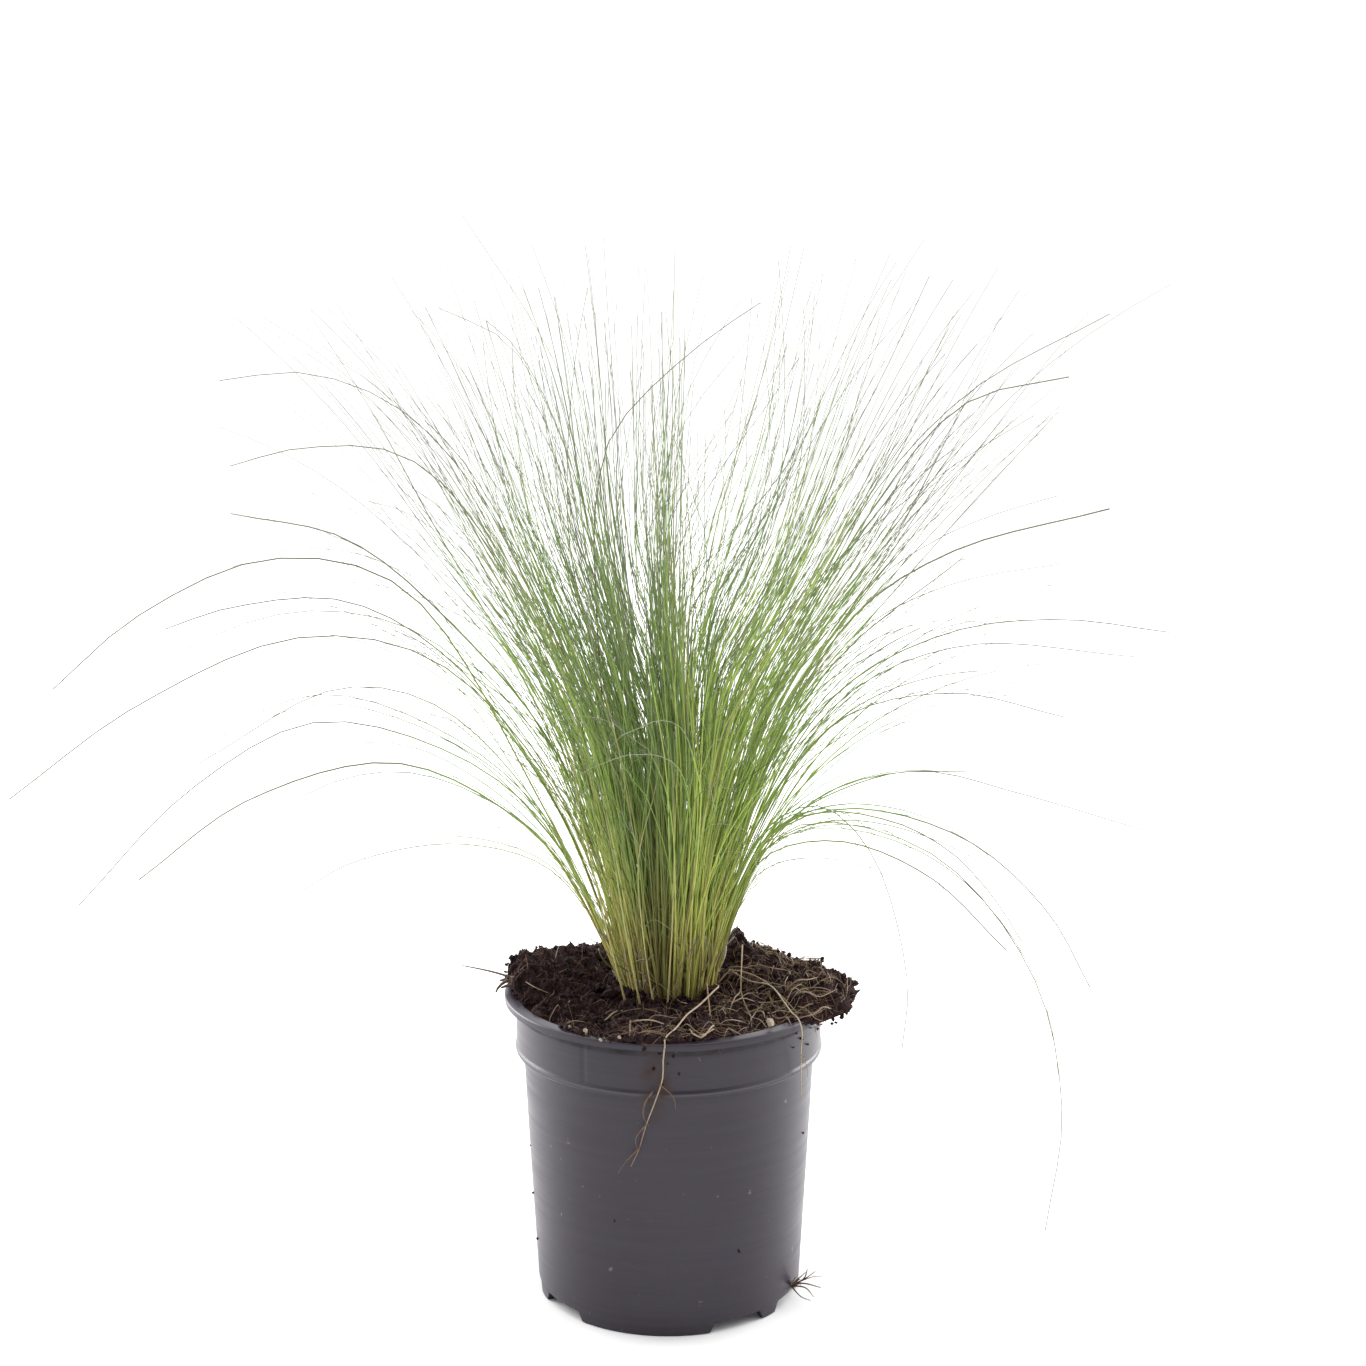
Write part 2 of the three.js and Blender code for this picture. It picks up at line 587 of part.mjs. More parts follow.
const plant = new THREE.Group();
plant.add(makePot());
plant.add(makeSoil());
plant.add(meshFrom('root_front', strand(frontStrandRoute(), STRAND_RADIUS), dryRoot));
plant.add(meshFrom('root_right', strand(rightStrandRoute(), STRAND_RADIUS), dryRoot));
BUNCHES.forEach((bunch, index) => plant.add(makeBunch(bunch, index)));

export default plant;
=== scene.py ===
# Mexican feather grass in a nursery pot: the fine grass, soil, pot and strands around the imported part.
# Shapes are worked out in millimetres and turned into metres as each piece is made. +Z is up, -Y is the
# front, and the origin is the middle of the pot's foot. Azimuths run anticlockwise from +X, in degrees.

import math

import bmesh
import bpy
import numpy as np
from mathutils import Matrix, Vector, noise


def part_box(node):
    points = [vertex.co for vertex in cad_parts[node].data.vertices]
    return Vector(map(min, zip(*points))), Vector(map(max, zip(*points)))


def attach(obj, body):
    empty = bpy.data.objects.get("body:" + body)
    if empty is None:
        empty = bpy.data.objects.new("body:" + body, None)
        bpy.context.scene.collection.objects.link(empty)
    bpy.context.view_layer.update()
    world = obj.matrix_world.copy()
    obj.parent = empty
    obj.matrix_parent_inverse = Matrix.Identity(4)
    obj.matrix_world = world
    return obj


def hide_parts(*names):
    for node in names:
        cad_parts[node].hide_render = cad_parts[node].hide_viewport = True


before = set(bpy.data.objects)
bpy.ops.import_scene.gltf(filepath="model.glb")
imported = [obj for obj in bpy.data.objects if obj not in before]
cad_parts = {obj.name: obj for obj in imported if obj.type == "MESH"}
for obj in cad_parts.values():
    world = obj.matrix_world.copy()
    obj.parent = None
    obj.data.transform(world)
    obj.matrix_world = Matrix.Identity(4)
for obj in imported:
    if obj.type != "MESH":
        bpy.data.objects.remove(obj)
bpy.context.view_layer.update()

MM = 0.001
DEGREE = math.pi / 180

# ---- dimensions shared with the CAD part

LIP_RADIUS = 65
LIP_TOP = 123
LIP_HEIGHT = 3
LIP_WIDTH = 5.2
COLLAR_RADIUS = 60.6
COLLAR_BOTTOM = 103
BEAD_RADIUS = 60.9
BEAD_HEIGHT = 101.3
BODY_TOP = 99.7
BODY_TOP_RADIUS = 57.6
BASE_RADIUS = 52.2
WALL = 1.2
FLOOR_HEIGHT = 5
FOOT_WIDTH = 2.3
CENTRE_FOOT_RADIUS = 12
CENTRE_FOOT_SLOPE = 3
NOTCHES = [(-71, -46), (-36, -11), (49, 74), (84, 109), (169, 194), (204, 229)]
NOTCH_HEIGHT = 4.2
DRAIN_INNER = 43.5
DRAIN_OUTER = 48.6
DRAIN_HALF_ANGLE = 6

SOIL_LEVEL = 122.2
SOIL_MOUND = 1
MOUND_RADIUS = 59.9
SOIL_RADIUS = 59.2
LUMPS = {"height": 1.3, "along_x": 0.41, "along_y": 0.37, "swirl": 1.5, "swirl_along": 0.21}
# x, y, rise, and width across and along of each hump.
HUMPS = [
    (33, 25, 6.2, 12, 19), (26, 31, 7, 6, 9), (60, -12, 4, 16, 20), (58, 14, 2.6, 16, 16),
    (-56, 13, 9, 17, 24), (-27, 36, 4.5, 20, 17),
]
LEDGE_MIDDLE = -3
LEDGE_HALF_ANGLE = 39
LEDGE_REACH = 13.6
LEDGE_FULLNESS = 0.6
LEDGE_RIPPLES = [(0.9, 7), (0.7, 17)]
LEDGE_UNDERSIDE = 118.4
LEDGE_TUCK = 2.4
RIM_DROP = 1.5

# Where thin soil covers the lip, as the middle and half of a range of azimuths, and how far it reaches.
SPILLS = [(158, 48, 6.4), (70, 66, 4.2), (257, 45, 5.6)]
COVER_HEIGHT = 1.3
COVER_SLOPE = 0.8

# Azimuth range in degrees and number of blades of each CAD bunch.
BUNCHES = [
    (-70, -25, 35), (-25, 25, 37), (25, 70, 35), (70, 110, 33),
    (110, 155, 35), (155, 205, 37), (205, 250, 35), (250, 290, 33),
]
TILLERS_PER_BUNCH = 3
TILLER_WIDTH = 0.8
GOLDEN_SHARE = 0.618034
SPREAD_JITTER = 0.08
SIDE_DRIFT = 0.12
UPRIGHT = {"lean": (0.2, 1.8), "lean_out": 8.5, "bend": (6, 36), "length": (110, 306)}
ARCHING = {"lean": (7, 11), "lean_out": 0, "bend": (22, 60), "length": (200, 320)}
DROOPING = {"lean": (10, 15), "lean_out": 0, "bend": (75, 115), "length": (190, 260)}
OUTER_ZONE = 0.72
UPRIGHT_SHARE = 0.58
ARCHING_SHARE = 0.86
LATE_BEND = (1.4, 2.4)
EAST_LEAN = 5
EAST_BEND_LOSS = 0.3
PARTING_X = 20
PARTING_SOFTNESS = 8
PARTING_WEST = {"heights": (215, 320), "push": 12}
PARTING_EAST = {"heights": (215, 350), "push": 13}
WAIST = {"places": (2, 26), "rises": (112, 168), "ends": (235, 300), "push": 5.8}
ROOT_HEIGHT = 112
SHOOT_RADIUS = 15.5
SHOOT_INNER_RADIUS = 3.2
SIDE_ROOM = 0.85
BUNCH_SEED = 1009
PATH_STEPS = 48
LONG_BLADE_ROOTS = (9, 15)
LONG_BLADE_TOP = 422
LONG_BLADE_LOW = 177

# The long outer blades: an azimuth, and the (radius, height) points that each one passes through.
LONG_BLADES = [
    (186, [(50, 201), (102, 286), (150, 297), (200, 276), (232, 249)]),
    (172, [(43, 194), (86, 253), (127, 275), (174, 271), (200, 262)]),
    (165, [(38, 220), (78, 306), (108, 331), (150, 332), (180, 324)]),
    (194, [(35, 230), (69, 316), (101, 354), (135, 368), (166, 366)]),
    (161, [(45, 212), (92, 265), (135, 295), (187, 303)]),
    (199, [(44, 188), (90, 243), (128, 253), (180, 229)]),
    (190, [(28, 150), (50, 194), (84, 222), (135, 236), (182, 212), (225, 169)]),
    (175, [(31, 152), (54, 186), (105, 212), (166, 196), (212, 162)]),
    (168, [(30, 148), (50, 170), (86, 177), (129, 167), (151, 154)]),
    (180, [(42, 200), (90, 255), (141, 264), (205, 237), (256, 200)]),
    (211, [(33, 160), (68, 203), (116, 226), (158, 218), (180, 182)]),
    (147, [(24, 237), (33, 315), (52, 366), (96, 422)]),
    (160, [(27, 278), (42, 335), (65, 374), (94, 387)]),
    (-8, [(24, 150), (37, 182), (58, 193), (104, 181), (142, 135), (155, 80), (150, 30)]),
    (10, [(26, 152), (42, 184), (72, 193), (120, 178), (155, 146), (174, 113)]),
    (-18, [(25, 150), (39, 180), (69, 189), (104, 178), (134, 152)]),
    (-45, [(28, 150), (50, 196), (80, 212), (105, 198), (122, 155), (120, 128)]),
    (5, [(36, 175), (62, 201), (99, 209), (139, 199), (189, 183)]),
    (17, [(30, 160), (50, 188), (90, 203), (125, 202)]),
    (-14, [(34, 185), (67, 235), (110, 248), (152, 241)]),
    (14, [(38, 195), (74, 239), (120, 255), (193, 247)]),
    (0, [(36, 195), (66, 243), (108, 266), (150, 271), (192, 266)]),
    (-20, [(36, 205), (72, 275), (110, 303), (168, 322)]),
    (30, [(36, 190), (75, 245), (139, 284)]),
    (5, [(38, 240), (77, 316), (115, 357), (168, 386)]),
    (-10, [(38, 235), (80, 319), (112, 356), (149, 366)]),
    (30, [(36, 235), (74, 321), (100, 364), (119, 398)]),
    (18, [(30, 240), (52, 315), (77, 374), (103, 413)]),
    (85, [(17, 315), (19, 360), (30, 412)]),
]

# ---- the pot and soil in finer form

POT_SEGMENTS = 360
CORNER_RADIUS = 0.7
BEVEL = 0.3
FLOOR_RING = 30
BODY_RINGS = (6, 30, 60, 90)
COLLAR_RING = 112
# Rings on the collar that carry the painted shade under the lip.
LIP_SHADE_RINGS = (116.3, 116.9)
NOTCH_RAMP = 2.5
DRAIN_BOTTOM = 3
DRAIN_TOP = 9
LIP_WAVE = 0.25
LIP_WAVE_FROM = 60
SEAM_AZIMUTH = 238
SEAM_DEPTH = 0.35
# Strength of the painted highlight along the bead.
BEAD_HIGHLIGHT = 0.24

SOIL_SPOKES = 400
SOIL_UNDER_RINGS = 9
SOIL_FACE_RINGS = 7
SOIL_TOP_RINGS = 110
SOIL_GAP = 0.4
BODY_GAP = 0.3
OVER_LIP = 0.2
BELOW_LIP = 2.2
LEDGE_SAG = 3.4
LEDGE_BULGE = 0.9
CROWN_DIP = 3
CROWN_DIP_RADII = (26, 15)

# Lumps in the soil's surface, as the height and pitch of each size, and how deep they sink in all.
BIG_LUMPS, MIDDLE_LUMPS, SMALL_LUMPS, FINE_LUMPS = (1.6, 0.11), (2.8, 0.27), (2.8, 0.62), (1.2, 1.5)
LUMP_SINK = 1.2

# Loose grains: how many, their middle size, its spread and limits, how finely each is cut, the brownest
# tone and its power, and the angle from which an edge is sharp. Clods are smaller by the rim, and more of
# them lie in front of the crown's foot.
CRUMBS = {"count": 3000, "middle": 0.55, "spread": 0.38, "limits": (0.25, 1.3), "cuts": 1,
          "tone": (0.95, 1.6), "sharp": 35}
CLODS = {"count": 850, "middle": 1.05, "spread": 0.42, "limits": (0.6, 2.7), "cuts": 2,
         "tone": (0.8, 1.4), "sharp": 30}
RIM_CLODS = {"radii": (50, 58), "loss": 0.35}
FOOT_CLODS = {"count": 110, "azimuths": (185, 352), "radii": (18.5, 23), "lifts": (-0.5, 2.6),
              "sizes": (0.8, 2.1)}
SPILT_SIZES = (0.3, 0.7)

# Where grains and fibres lie: few in the crown's skirt, more on one side, and down the ledge's broken edge.
SKIRT = {"radius": 21, "loss": 0.75}
CROWDED_SIDE = (-15, 110)
BROKEN_EDGE = {"width": 1.5, "depth": 6}

# Fine fibres over the peat, the tangle in front of the crown, and fuzz.
FIBRES = {"count": 250, "lengths": (4, 30), "turn": 13, "lift": 0.6, "arch": 2.2, "shortest": 1.5,
          "pale_from": 18}
TANGLE = {"count": 34, "x": (-17, 19), "y": (-60, -45), "halves": (3, 9), "slant": 0.28, "bow": 1.5,
          "lift": 0.7, "arch": 2.2}
FUZZ = {"count": 1700, "lengths": (1.5, 5.5), "radii": (0.05, 0.13), "bend": 0.35}
STRAND_RINGS = 44
FIBRE_RINGS = 14

# ---- the grass in finer form

BLADE_RINGS = 25
BLADE_SIDES = 4
BLADE_RADIUS = 0.22
BLADE_FOOT_RADIUS = 0.37
TIP_SHARE = 0.42
SHEATH_RADIUS = 0.54
SHEATH_RINGS = 9
BOX_ROOM = 8
LOWEST_TIP, HIGHEST_TIP = 12, 424
# How far loose shoots stray from the drawn path, and how shoots that leave the box are shortened.
LOOSE = {"lean": 2.6, "sway": 6, "splay": 5, "curl": 0.2}
SHORTENED = 0.94
SHORTENINGS = 24

# Each CAD blade is the leading blade of a tiller, which sends out more blades close to it.
BLADES_PER_TILLER = 3
TILLER_SPREAD = 0.5
TILLER_DRIFT = 0.12
TILLER_OPENS = (12, 70)
OTHER_KIND_SHARE = 0.3

# Each bunch also gets wisps at its outside, dead stumps, and spires that stand up in the middle of the tuft.
# A stump's shares of length are below 0, because it is shorter than any whole blade.
WISPS = 8
STUMPS = 14
STUMP_LENGTHS = (-0.48, -0.34)
SPIRES = 4
SPIRE_ROOTS = (4, 10)
SPIRE_SPREAD = (4.5, 7)
SPIRE_PLACES = (-15, 21)
SPIRE_DEPTH = 18
SPIRE_TOP = 406
SPIRE_SLOPE = 4.5
SPIRE_SHORTER = 60
# The columns of a shoot that wisps and stumps draw anew.
OUTWARD, CHANCE, LENGTH = 0, 3, 6

# Thinner blades follow each long one, and a long one is slighter the further it reaches above TALL_ARC.
ARC_COMPANIONS = 2
TALL_ARC = 340
TALL_ARC_LOSS = 0.45

# Two narrow gaps run from front to back through the middle of the tuft, each as an x place and a half-width.
GAPS = [(-10.5, 1.5), (12, 1.2)]
GAP_OPENS = (195, 235)
GAP_CLOSES = (285, 330)
GAP_REACH = 5

# Painted shade and light on the tillers round the clump, along with how fresh they are, as an azimuth, a
# half-width and a change.
SHADING_AND_FRESHNESS = [
    (263, 18, -0.5), (300, 24, 0.46), (238, 10, 0.24), (334, 12, 0.10), (215, 8, -0.05), (195, 12, 0.2),
    (170, 12, -0.3), (140, 14, 0.25), (110, 14, -0.3), (80, 14, 0.25), (50, 13, -0.3), (20, 13, 0.2),
    (352, 12, 0.25),
]
INNER_SHADE = 0.38
# Between these radii blades take on the colour of their tips.
FADE_RADII = (60, 125)

# Hair-thin outer blades by the number of their bunch, as (x, y, z) points from the crown to the tip.
FAINT_BLADES = {1: [
    [(13, -3, 112), (24, -4, 150), (43.6, -5, 181), (64.7, -6, 195), (94.8, -7, 195), (117.3, -8, 184.6),
     (139.9, -8, 163), (151, -9, 143), (158.7, -9, 125)],
    [(13, 2, 112), (25, 3, 152), (49.6, 4, 186), (79.7, 6, 188), (98.5, 7, 175), (109.8, 8, 159),
     (119.2, 8, 141), (124.8, 9, 125)],
    [(12, -5, 112), (24, -8, 152), (44, -11, 179), (57.2, -13, 182), (72.2, -15, 180), (87.2, -17, 171),
     (106, -18, 160), (113.6, -19, 151)],
    [(13, 4, 112), (27, 8, 160), (49.6, 12, 193), (63.6, 14, 197), (70.3, 15, 191), (77.8, 16, 176),
     (83.5, 17, 159), (89.1, 18, 135), (89.9, 18, 119)],
    [(14, 0, 112), (27, 1, 155), (50, 2, 190), (78, 3, 202), (105, 3, 203), (128, 4, 199)],
], 5: [
    [(-13, -3, 112), (-19, -6, 140), (-30.4, -9, 163), (-65.4, -15, 182), (-94.7, -18, 182),
     (-121, -20, 173), (-132.7, -21, 165)],
    [(-14, 2, 112), (-24, 4, 160), (-48, 8, 205), (-80, 11, 222), (-112, 13, 224), (-140, 14, 219)],
]}

# Single blades of the front bunch that stand out from the mass, dark or curled, as their thickness, dryness
# and tone, and (x, y, z) points from the crown to the tip.
FRONT_BUNCH = 7
SINGLES = [
    (1.5, 0.95, 0.05, [(-4, -12, 112), (-14, -14, 160), (-23, -14, 220), (-27, -14, 280), (-27, -14, 318),
                       (-21, -14, 343), (-10, -14, 357), (5, -14, 371), (19, -14, 382), (34, -14, 392)]),
    (1.5, 0.55, 0.80, [(-14, -17, 112), (-22, -28, 150), (-29, -34, 185), (-34, -35, 212), (-34, -35, 230),
                       (-29, -35, 239), (-23, -35, 241), (-18, -35, 239), (-15, -35, 232)]),
    (1.4, 0.60, 0.85, [(-4, -18, 112), (-9, -30, 150), (-11, -35, 186), (-5, -37, 213), (-2, -37, 232),
                       (-2, -37, 243), (0, -37, 245), (1, -37, 240)]),
    (1.4, 0.65, 0.90, [(-1, -18, 112), (2, -32, 170), (2, -36, 215), (-1, -37, 240), (-3, -37, 234),
                       (-6, -37, 228), (-12, -37, 224), (-16, -37, 219)]),
    (1.5, 0.60, 0.80, [(-9, -18, 112), (-16, -30, 155), (-21, -36, 190), (-25, -37, 209), (-30, -37, 220),
                       (-31, -37, 225), (-28, -37, 219), (-24, -37, 211)]),
]

# ---- strands, fibres and grit, placed one by one

# The two strands: their points on the soil, as (x, y, height over it), then beyond the lip, as (x, y, z).
FRONT_STRAND_SOIL = [
    (17, -4, 4.4), (19.5, -9, 4.8), (18, -17, 4.0), (12, -30, 3.6), (7, -43, 3.4), (3, -54, 3.2),
]
FRONT_STRAND = [
    (-1, -63.6, 125.0), (-1, -66.4, 123.2), (-1.6, -66.4, 118.6), (-2, -63.6, 109), (-5, -62.2, 99),
    (-8, -60, 90), (-11, -58.5, 79), (-14, -57.5, 72),
]
FRONT_BRANCHES = [
    [(-5.5, -62.4, 104), (-8.5, -62.0, 99), (-9, -60.6, 93), (-7, -59.9, 89)],
    [(-8, -60, 90), (-12, -59.4, 84), (-11.5, -58.9, 79)],
    [(-10, -58.9, 81), (-16, -58.3, 74), (-19, -57.0, 69)],
    [(-3, -63.3, 107), (2, -63.2, 102), (3, -62.6, 97)],
]
FRONT_RADII = [0.40, 0.42, 0.32, 0.28, 0.20]
FRONT_TONES = [0.9, 0.12, 0.2, 0.25, 0.3]
FRONT_FADE = (72, 96)
RIGHT_STRAND_SOIL = [(24, 5, 4.6), (32, -4, 5.4), (39.5, -15, 5.2), (44.5, -28, 4.4), (47, -36, 3.6)]
RIGHT_STRAND = [
    (49.4, -42.2, 125.0), (50.6, -43.9, 121.6), (50.6, -40.0, 112), (50.8, -37.2, 101), (51.2, -33.6, 90),
]
RIGHT_BRANCHES = [[(50.7, -39.6, 110), (53, -36.6, 104), (53.4, -34.6, 99)]]
RIGHT_RADII = [0.36, 0.18]
RIGHT_TONES = [0.95, 0.6]

# Dry strands on the soil, as (x, y, height over the soil) points.
SOIL_STRANDS = [
    [(19, -1, 2), (24.4, 3, 5.5), (29.5, 1, 6.5), (37, -8.5, 6), (43.8, -22, 4.5), (49.8, -32, 1)],
    [(29.6, 23, 1.5), (29, 10, 4.5), (28.3, -8, 6), (28.1, -13, 6), (29.5, -25, 5), (31.5, -36, 3),
     (31.6, -46, 0.5)],
    [(28.1, -12, 6), (27.6, -15, 5), (25.3, -25, 4), (23.2, -31, 1)],
    [(14.8, -10, 3.5), (15.3, -22, 4.5), (16, -35, 3), (16.2, -51, 0.5)],
    [(8.3, -48, 1), (10, -56, 2.6), (13.6, -60, 2.6), (16.6, -57, 2.4), (17.3, -48, 1)],
    [(9.7, -60, 1), (12.6, -62.5, 2), (16, -59, 2.5), (17.6, -45, 1)],
    [(-14.5, -26, 1), (-14.3, -46, 3.5), (-14.1, -61, 1)],
    [(-17, -39, 1), (-7, -43, 3), (-1, -47, 3), (6, -50, 1)],
    [(-24, -37, 1), (-20, -32, 3), (-14, -28, 1)],
    [(45.7, -9.6, 1), (50, -11, 3.5), (54.3, -9, 3.5), (59.4, 2, 1)],
    [(46.6, 20, 1), (48.4, 12, 3), (46.7, -1, 3.5), (45.5, -9, 3), (45.7, -11, 1)],
    [(30.4, 12, 1), (35.5, 9, 3), (40.6, 8, 3), (48.1, 15, 1)],
    [(49, -18, 1), (53, -23, 2.5), (57.9, -24, 3), (65.3, -19.4, 1)],
    [(49.9, -26, 1), (52.6, -33, 2.5), (56, -37, 2.5), (58.4, -40, 1)],
    [(-55.8, -7, 1), (-51.7, -11, 2), (-46.2, -12, 1)],
    [(-41, -42, 1), (-36, -44, 2), (-31, -41, 1)],
    [(33, -30, 1), (36, -34, 2.5), (37, -40, 1)],
    [(38, -38, 1), (42, -36, 3), (45, -40, 2.5), (47, -44, 1)],
]
TWIG = [(-58, -3, 126.5), (-63, -1, 128), (-68, 2, 128.6), (-74.8, 5.7, 129), (-82, 7, 130)]
TWIG_STUBS = [
    [(-60, -3, 127.5), (-64, -3, 126.8), (-67, -4.5, 124.6), (-67.8, -5, 123)],
    [(-59, -2, 128), (-63, -2, 127.6), (-66.5, -1.5, 126.6)],
    [(-60, -4, 126), (-64, -4, 125.2), (-65.8, -4.6, 124.6)],
]

# Rootlets that grow out of the drain notch at the right, as end points round their common start.
DRAIN_ROOT = (48.5, -19, 5.5)
DRAIN_ROOT_ENDS = [
    (58, -22, 13), (60, -26, 8), (56, -27, 3), (54, -25, 14), (52, -26, 9), (61, -20, 10), (55, -18, 12),
    (50, -25, 12), (57, -30, 6),
]

# Crumbs that cling to the outside of the pot, as azimuth and height.
SPILT_CRUMBS = [
    (-88, 117), (-90, 114), (-93, 118), (-86, 110), (-95, 112), (-97, 119.5), (-92, 106), (-89, 103),
    (-36, 117), (-33, 114), (-30, 118), (-38, 112), (-28, 110), (-31, 106), (-34, 119.5), (-26, 116),
    (-172, 40), (-170, 61), (-168, 22), (-60, 33), (-112, 47), (-20, 70), (150, 60), (60, 30),
]
# Pale grit, as x, y, height over the soil and size.
GRIT = [(38.6, -47.5, 2.6, 1.8), (-36.8, -48.5, 1.2, 1.1), (-31, -53, 1.0, 1.2), (-25, -60, 1.2, 0.9),
        (-18, -62, 1.2, 0.8), (-44, 20, 0.8, 1.0), (-8, 48, 0.8, 1.1), (30, 52, 0.8, 0.9)]

# ---- studio, in metres and watts

FLOOR_SIZE = 120
FLOOR_GREY = 0.75
WALL_LIGHT = 1.95
FRONT_LIGHT = 0.5
# Name, place, size and power of each soft box.
SOFT_BOXES = [
    ("left_softbox", (-1.5, 0.9, 0.6), 1.3, 43),
    ("right_softbox", (1.5, 0.9, 0.6), 1.3, 43),
    ("top_softbox", (0.0, 0.2, 2.0), 1.6, 14),
]
SOFT_BOX_AIM = (0, 0, 0.2)
CAMERA_PLACE = (0.00566, -0.9684, 0.4534)
CAMERA_DIP = 12.08
CAMERA_LENS = 67.84
CAMERA_SENSOR = 36
CAMERA_REACH = 50


# ---- numbers

class Draw:
    """The CAD part's evenly spread numbers from 0 to 1, the same on every run."""

    def __init__(self, seed):
        self.state = seed

    def next(self):
        self.state = (self.state * 1664525 + 1013904223) & 0xFFFFFFFF
        return (self.state >> 8) / 16777216

    def between(self, low, high):
        return low + (high - low) * self.next()


def smooth_step(low, high, value):
    share = np.clip((value - low) / (high - low), 0, 1)
    return share * share * (3 - 2 * share)


def within(limits, shares):
    return limits[0] + (limits[1] - limits[0]) * shares


def unit(vectors):
    lengths = np.linalg.norm(vectors, axis=-1, keepdims=True)
    return vectors / np.maximum(lengths, 1e-12)


def polar(radius, azimuth):
    """x and y at a radius and an azimuth."""
    return radius * math.cos(azimuth * DEGREE), radius * math.sin(azimuth * DEGREE)


def apart(azimuth, middle):
    """How many degrees lie between an azimuth and a middle one."""
    return np.abs((azimuth - middle + 180) % 360 - 180)


def near_azimuth(azimuth, middle, half_angle):
    """1 at the middle azimuth, falling smoothly to 0 at half_angle from it."""
    return 1 - smooth_step(0, half_angle, apart(azimuth, middle))


def curve_through(points, count):
    """Points spread evenly along a centripetal Catmull-Rom curve through the given ones."""
    given = np.array(points, float)
    ends = [2 * given[0] - given[1], 2 * given[-1] - given[-2]]
    padded = np.vstack([ends[0], given, ends[1]])
    fine = []
    shares = np.linspace(0, 1, 24, endpoint=False)[:, None]
    for before, start, end, after in zip(padded, padded[1:], padded[2:], padded[3:]):
        first, middle, last = (
            max(np.linalg.norm(b - a), 1e-6) ** 0.5
            for a, b in ((before, start), (start, end), (end, after))
        )
        leave = (start - before) / first - (end - before) / (first + middle) + (end - start) / middle
        arrive = (end - start) / middle - (after - start) / (middle + last) + (after - end) / last
        leave, arrive = leave * middle, arrive * middle
        square = -3 * start + 3 * end - 2 * leave - arrive
        cube = 2 * start - 2 * end + leave + arrive
        fine.append(start + leave * shares + square * shares**2 + cube * shares**3)
    fine = np.vstack(fine + [given[-1:]])
    travelled = np.concatenate([[0], np.cumsum(np.linalg.norm(np.diff(fine, axis=0), axis=1))])
    stations = np.linspace(0, travelled[-1], count)
    return np.column_stack([np.interp(stations, travelled, fine[:, axis]) for axis in range(3)])


def at_stations(paths, stations):
    """Points along paths at stations that are given as ring numbers, whole or not."""
    rows = np.arange(len(paths))[:, None]
    whole = stations.astype(int).clip(0, paths.shape[1] - 2)
    share = (stations - whole)[..., None]
    return paths[rows, whole] * (1 - share) + paths[rows, whole + 1] * share


# ---- meshes

def add_object(name, data):
    item = bpy.data.objects.new(name, data)
    bpy.context.scene.collection.objects.link(item)
    return item


def mesh_of(name, points, faces):
    """A mesh from points in millimetres."""
    mesh = bpy.data.meshes.new(name)
    mesh.from_pydata((np.asarray(points) * MM).tolist(), [], faces)
    return mesh


def make_piece(name, points, faces, material, marks, sharp=None):
    """A piece of the plant. marks are numbers for each point that materials read."""
    mesh = mesh_of(name, points, faces)
    for mark, values in marks.items():
        layer = mesh.attributes.new(mark, "FLOAT", "POINT")
        layer.data.foreach_set("value", np.asarray(values, np.float32))
    mesh.materials.append(material)
    mesh.shade_smooth()
    if sharp is not None:
        mesh.set_sharp_from_angle(angle=sharp * DEGREE)
    piece = add_object(name, mesh)
    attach(piece, "root")
    return piece


def turned_faces(columns, rings):
    """Faces of a body with columns of rings points round the z axis, then a point below and one on top."""
    under = columns * rings
    faces = []
    for i in range(columns):
        here, beside = i * rings, (i + 1) % columns * rings
        faces.append([under, beside, here])
        faces += [[here + j, beside + j, beside + j + 1, here + j + 1] for j in range(rings - 1)]
        faces.append([here + rings - 1, beside + rings - 1, under + 1])
    return faces


def tubes(paths, radii, sides, squash=1.0, first_turn=0.0):
    """Closed tubes along paths of alike numbers of points, pointed at both ends.

    Returns their points and faces, and for each point its share of the way along and its path.
    """
    count, rings, _ = paths.shape
    tangents = unit(np.gradient(paths, axis=1))
    across = np.empty_like(paths)
    guide = unit(np.cross(tangents[:, 0], [0.3, 0.9, 0.1]))
    for ring in range(rings):
        lean = (guide * tangents[:, ring]).sum(-1, keepdims=True)
        guide = unit(guide - lean * tangents[:, ring])
        across[:, ring] = guide
    beside = np.cross(tangents, across)
    angles = np.arange(sides) * 2 * math.pi / sides + np.broadcast_to(first_turn, count)[:, None]
    wide = np.cos(angles)[:, None, :, None] * across[:, :, None, :]
    deep = np.sin(angles)[:, None, :, None] * beside[:, :, None, :] * squash
    bodies = paths[:, :, None, :] + (wide + deep) * radii[:, :, None, None]
    bodies = bodies.reshape(count, rings * sides, 3)
    points = np.concatenate([bodies, paths[:, :1], paths[:, -1:]], axis=1).reshape(-1, 3)
    per_tube = rings * sides + 2
    offsets = (np.arange(count) * per_tube)[:, None, None]
    corner = np.arange(sides)
    following = (corner + 1) % sides
    ring = np.arange(rings - 1)[:, None] * sides
    quads = np.stack([ring + corner, ring + following,
                      ring + sides + following, ring + sides + corner], axis=-1).reshape(-1, 4)
    last = (rings - 1) * sides
    root = np.stack([following, corner, np.full(sides, rings * sides)], axis=-1)
    tip = np.stack([last + corner, last + following, np.full(sides, rings * sides + 1)], axis=-1)
    faces = (quads[None] + offsets).reshape(-1, 4).tolist()
    faces += (np.concatenate([root, tip])[None] + offsets).reshape(-1, 3).tolist()
    steps = np.repeat(np.linspace(0, 1, rings), sides)
    along = np.tile(np.concatenate([steps, [0, 1]]), count)
    owner = np.repeat(np.arange(count), per_tube)
    return points, faces, along, owner


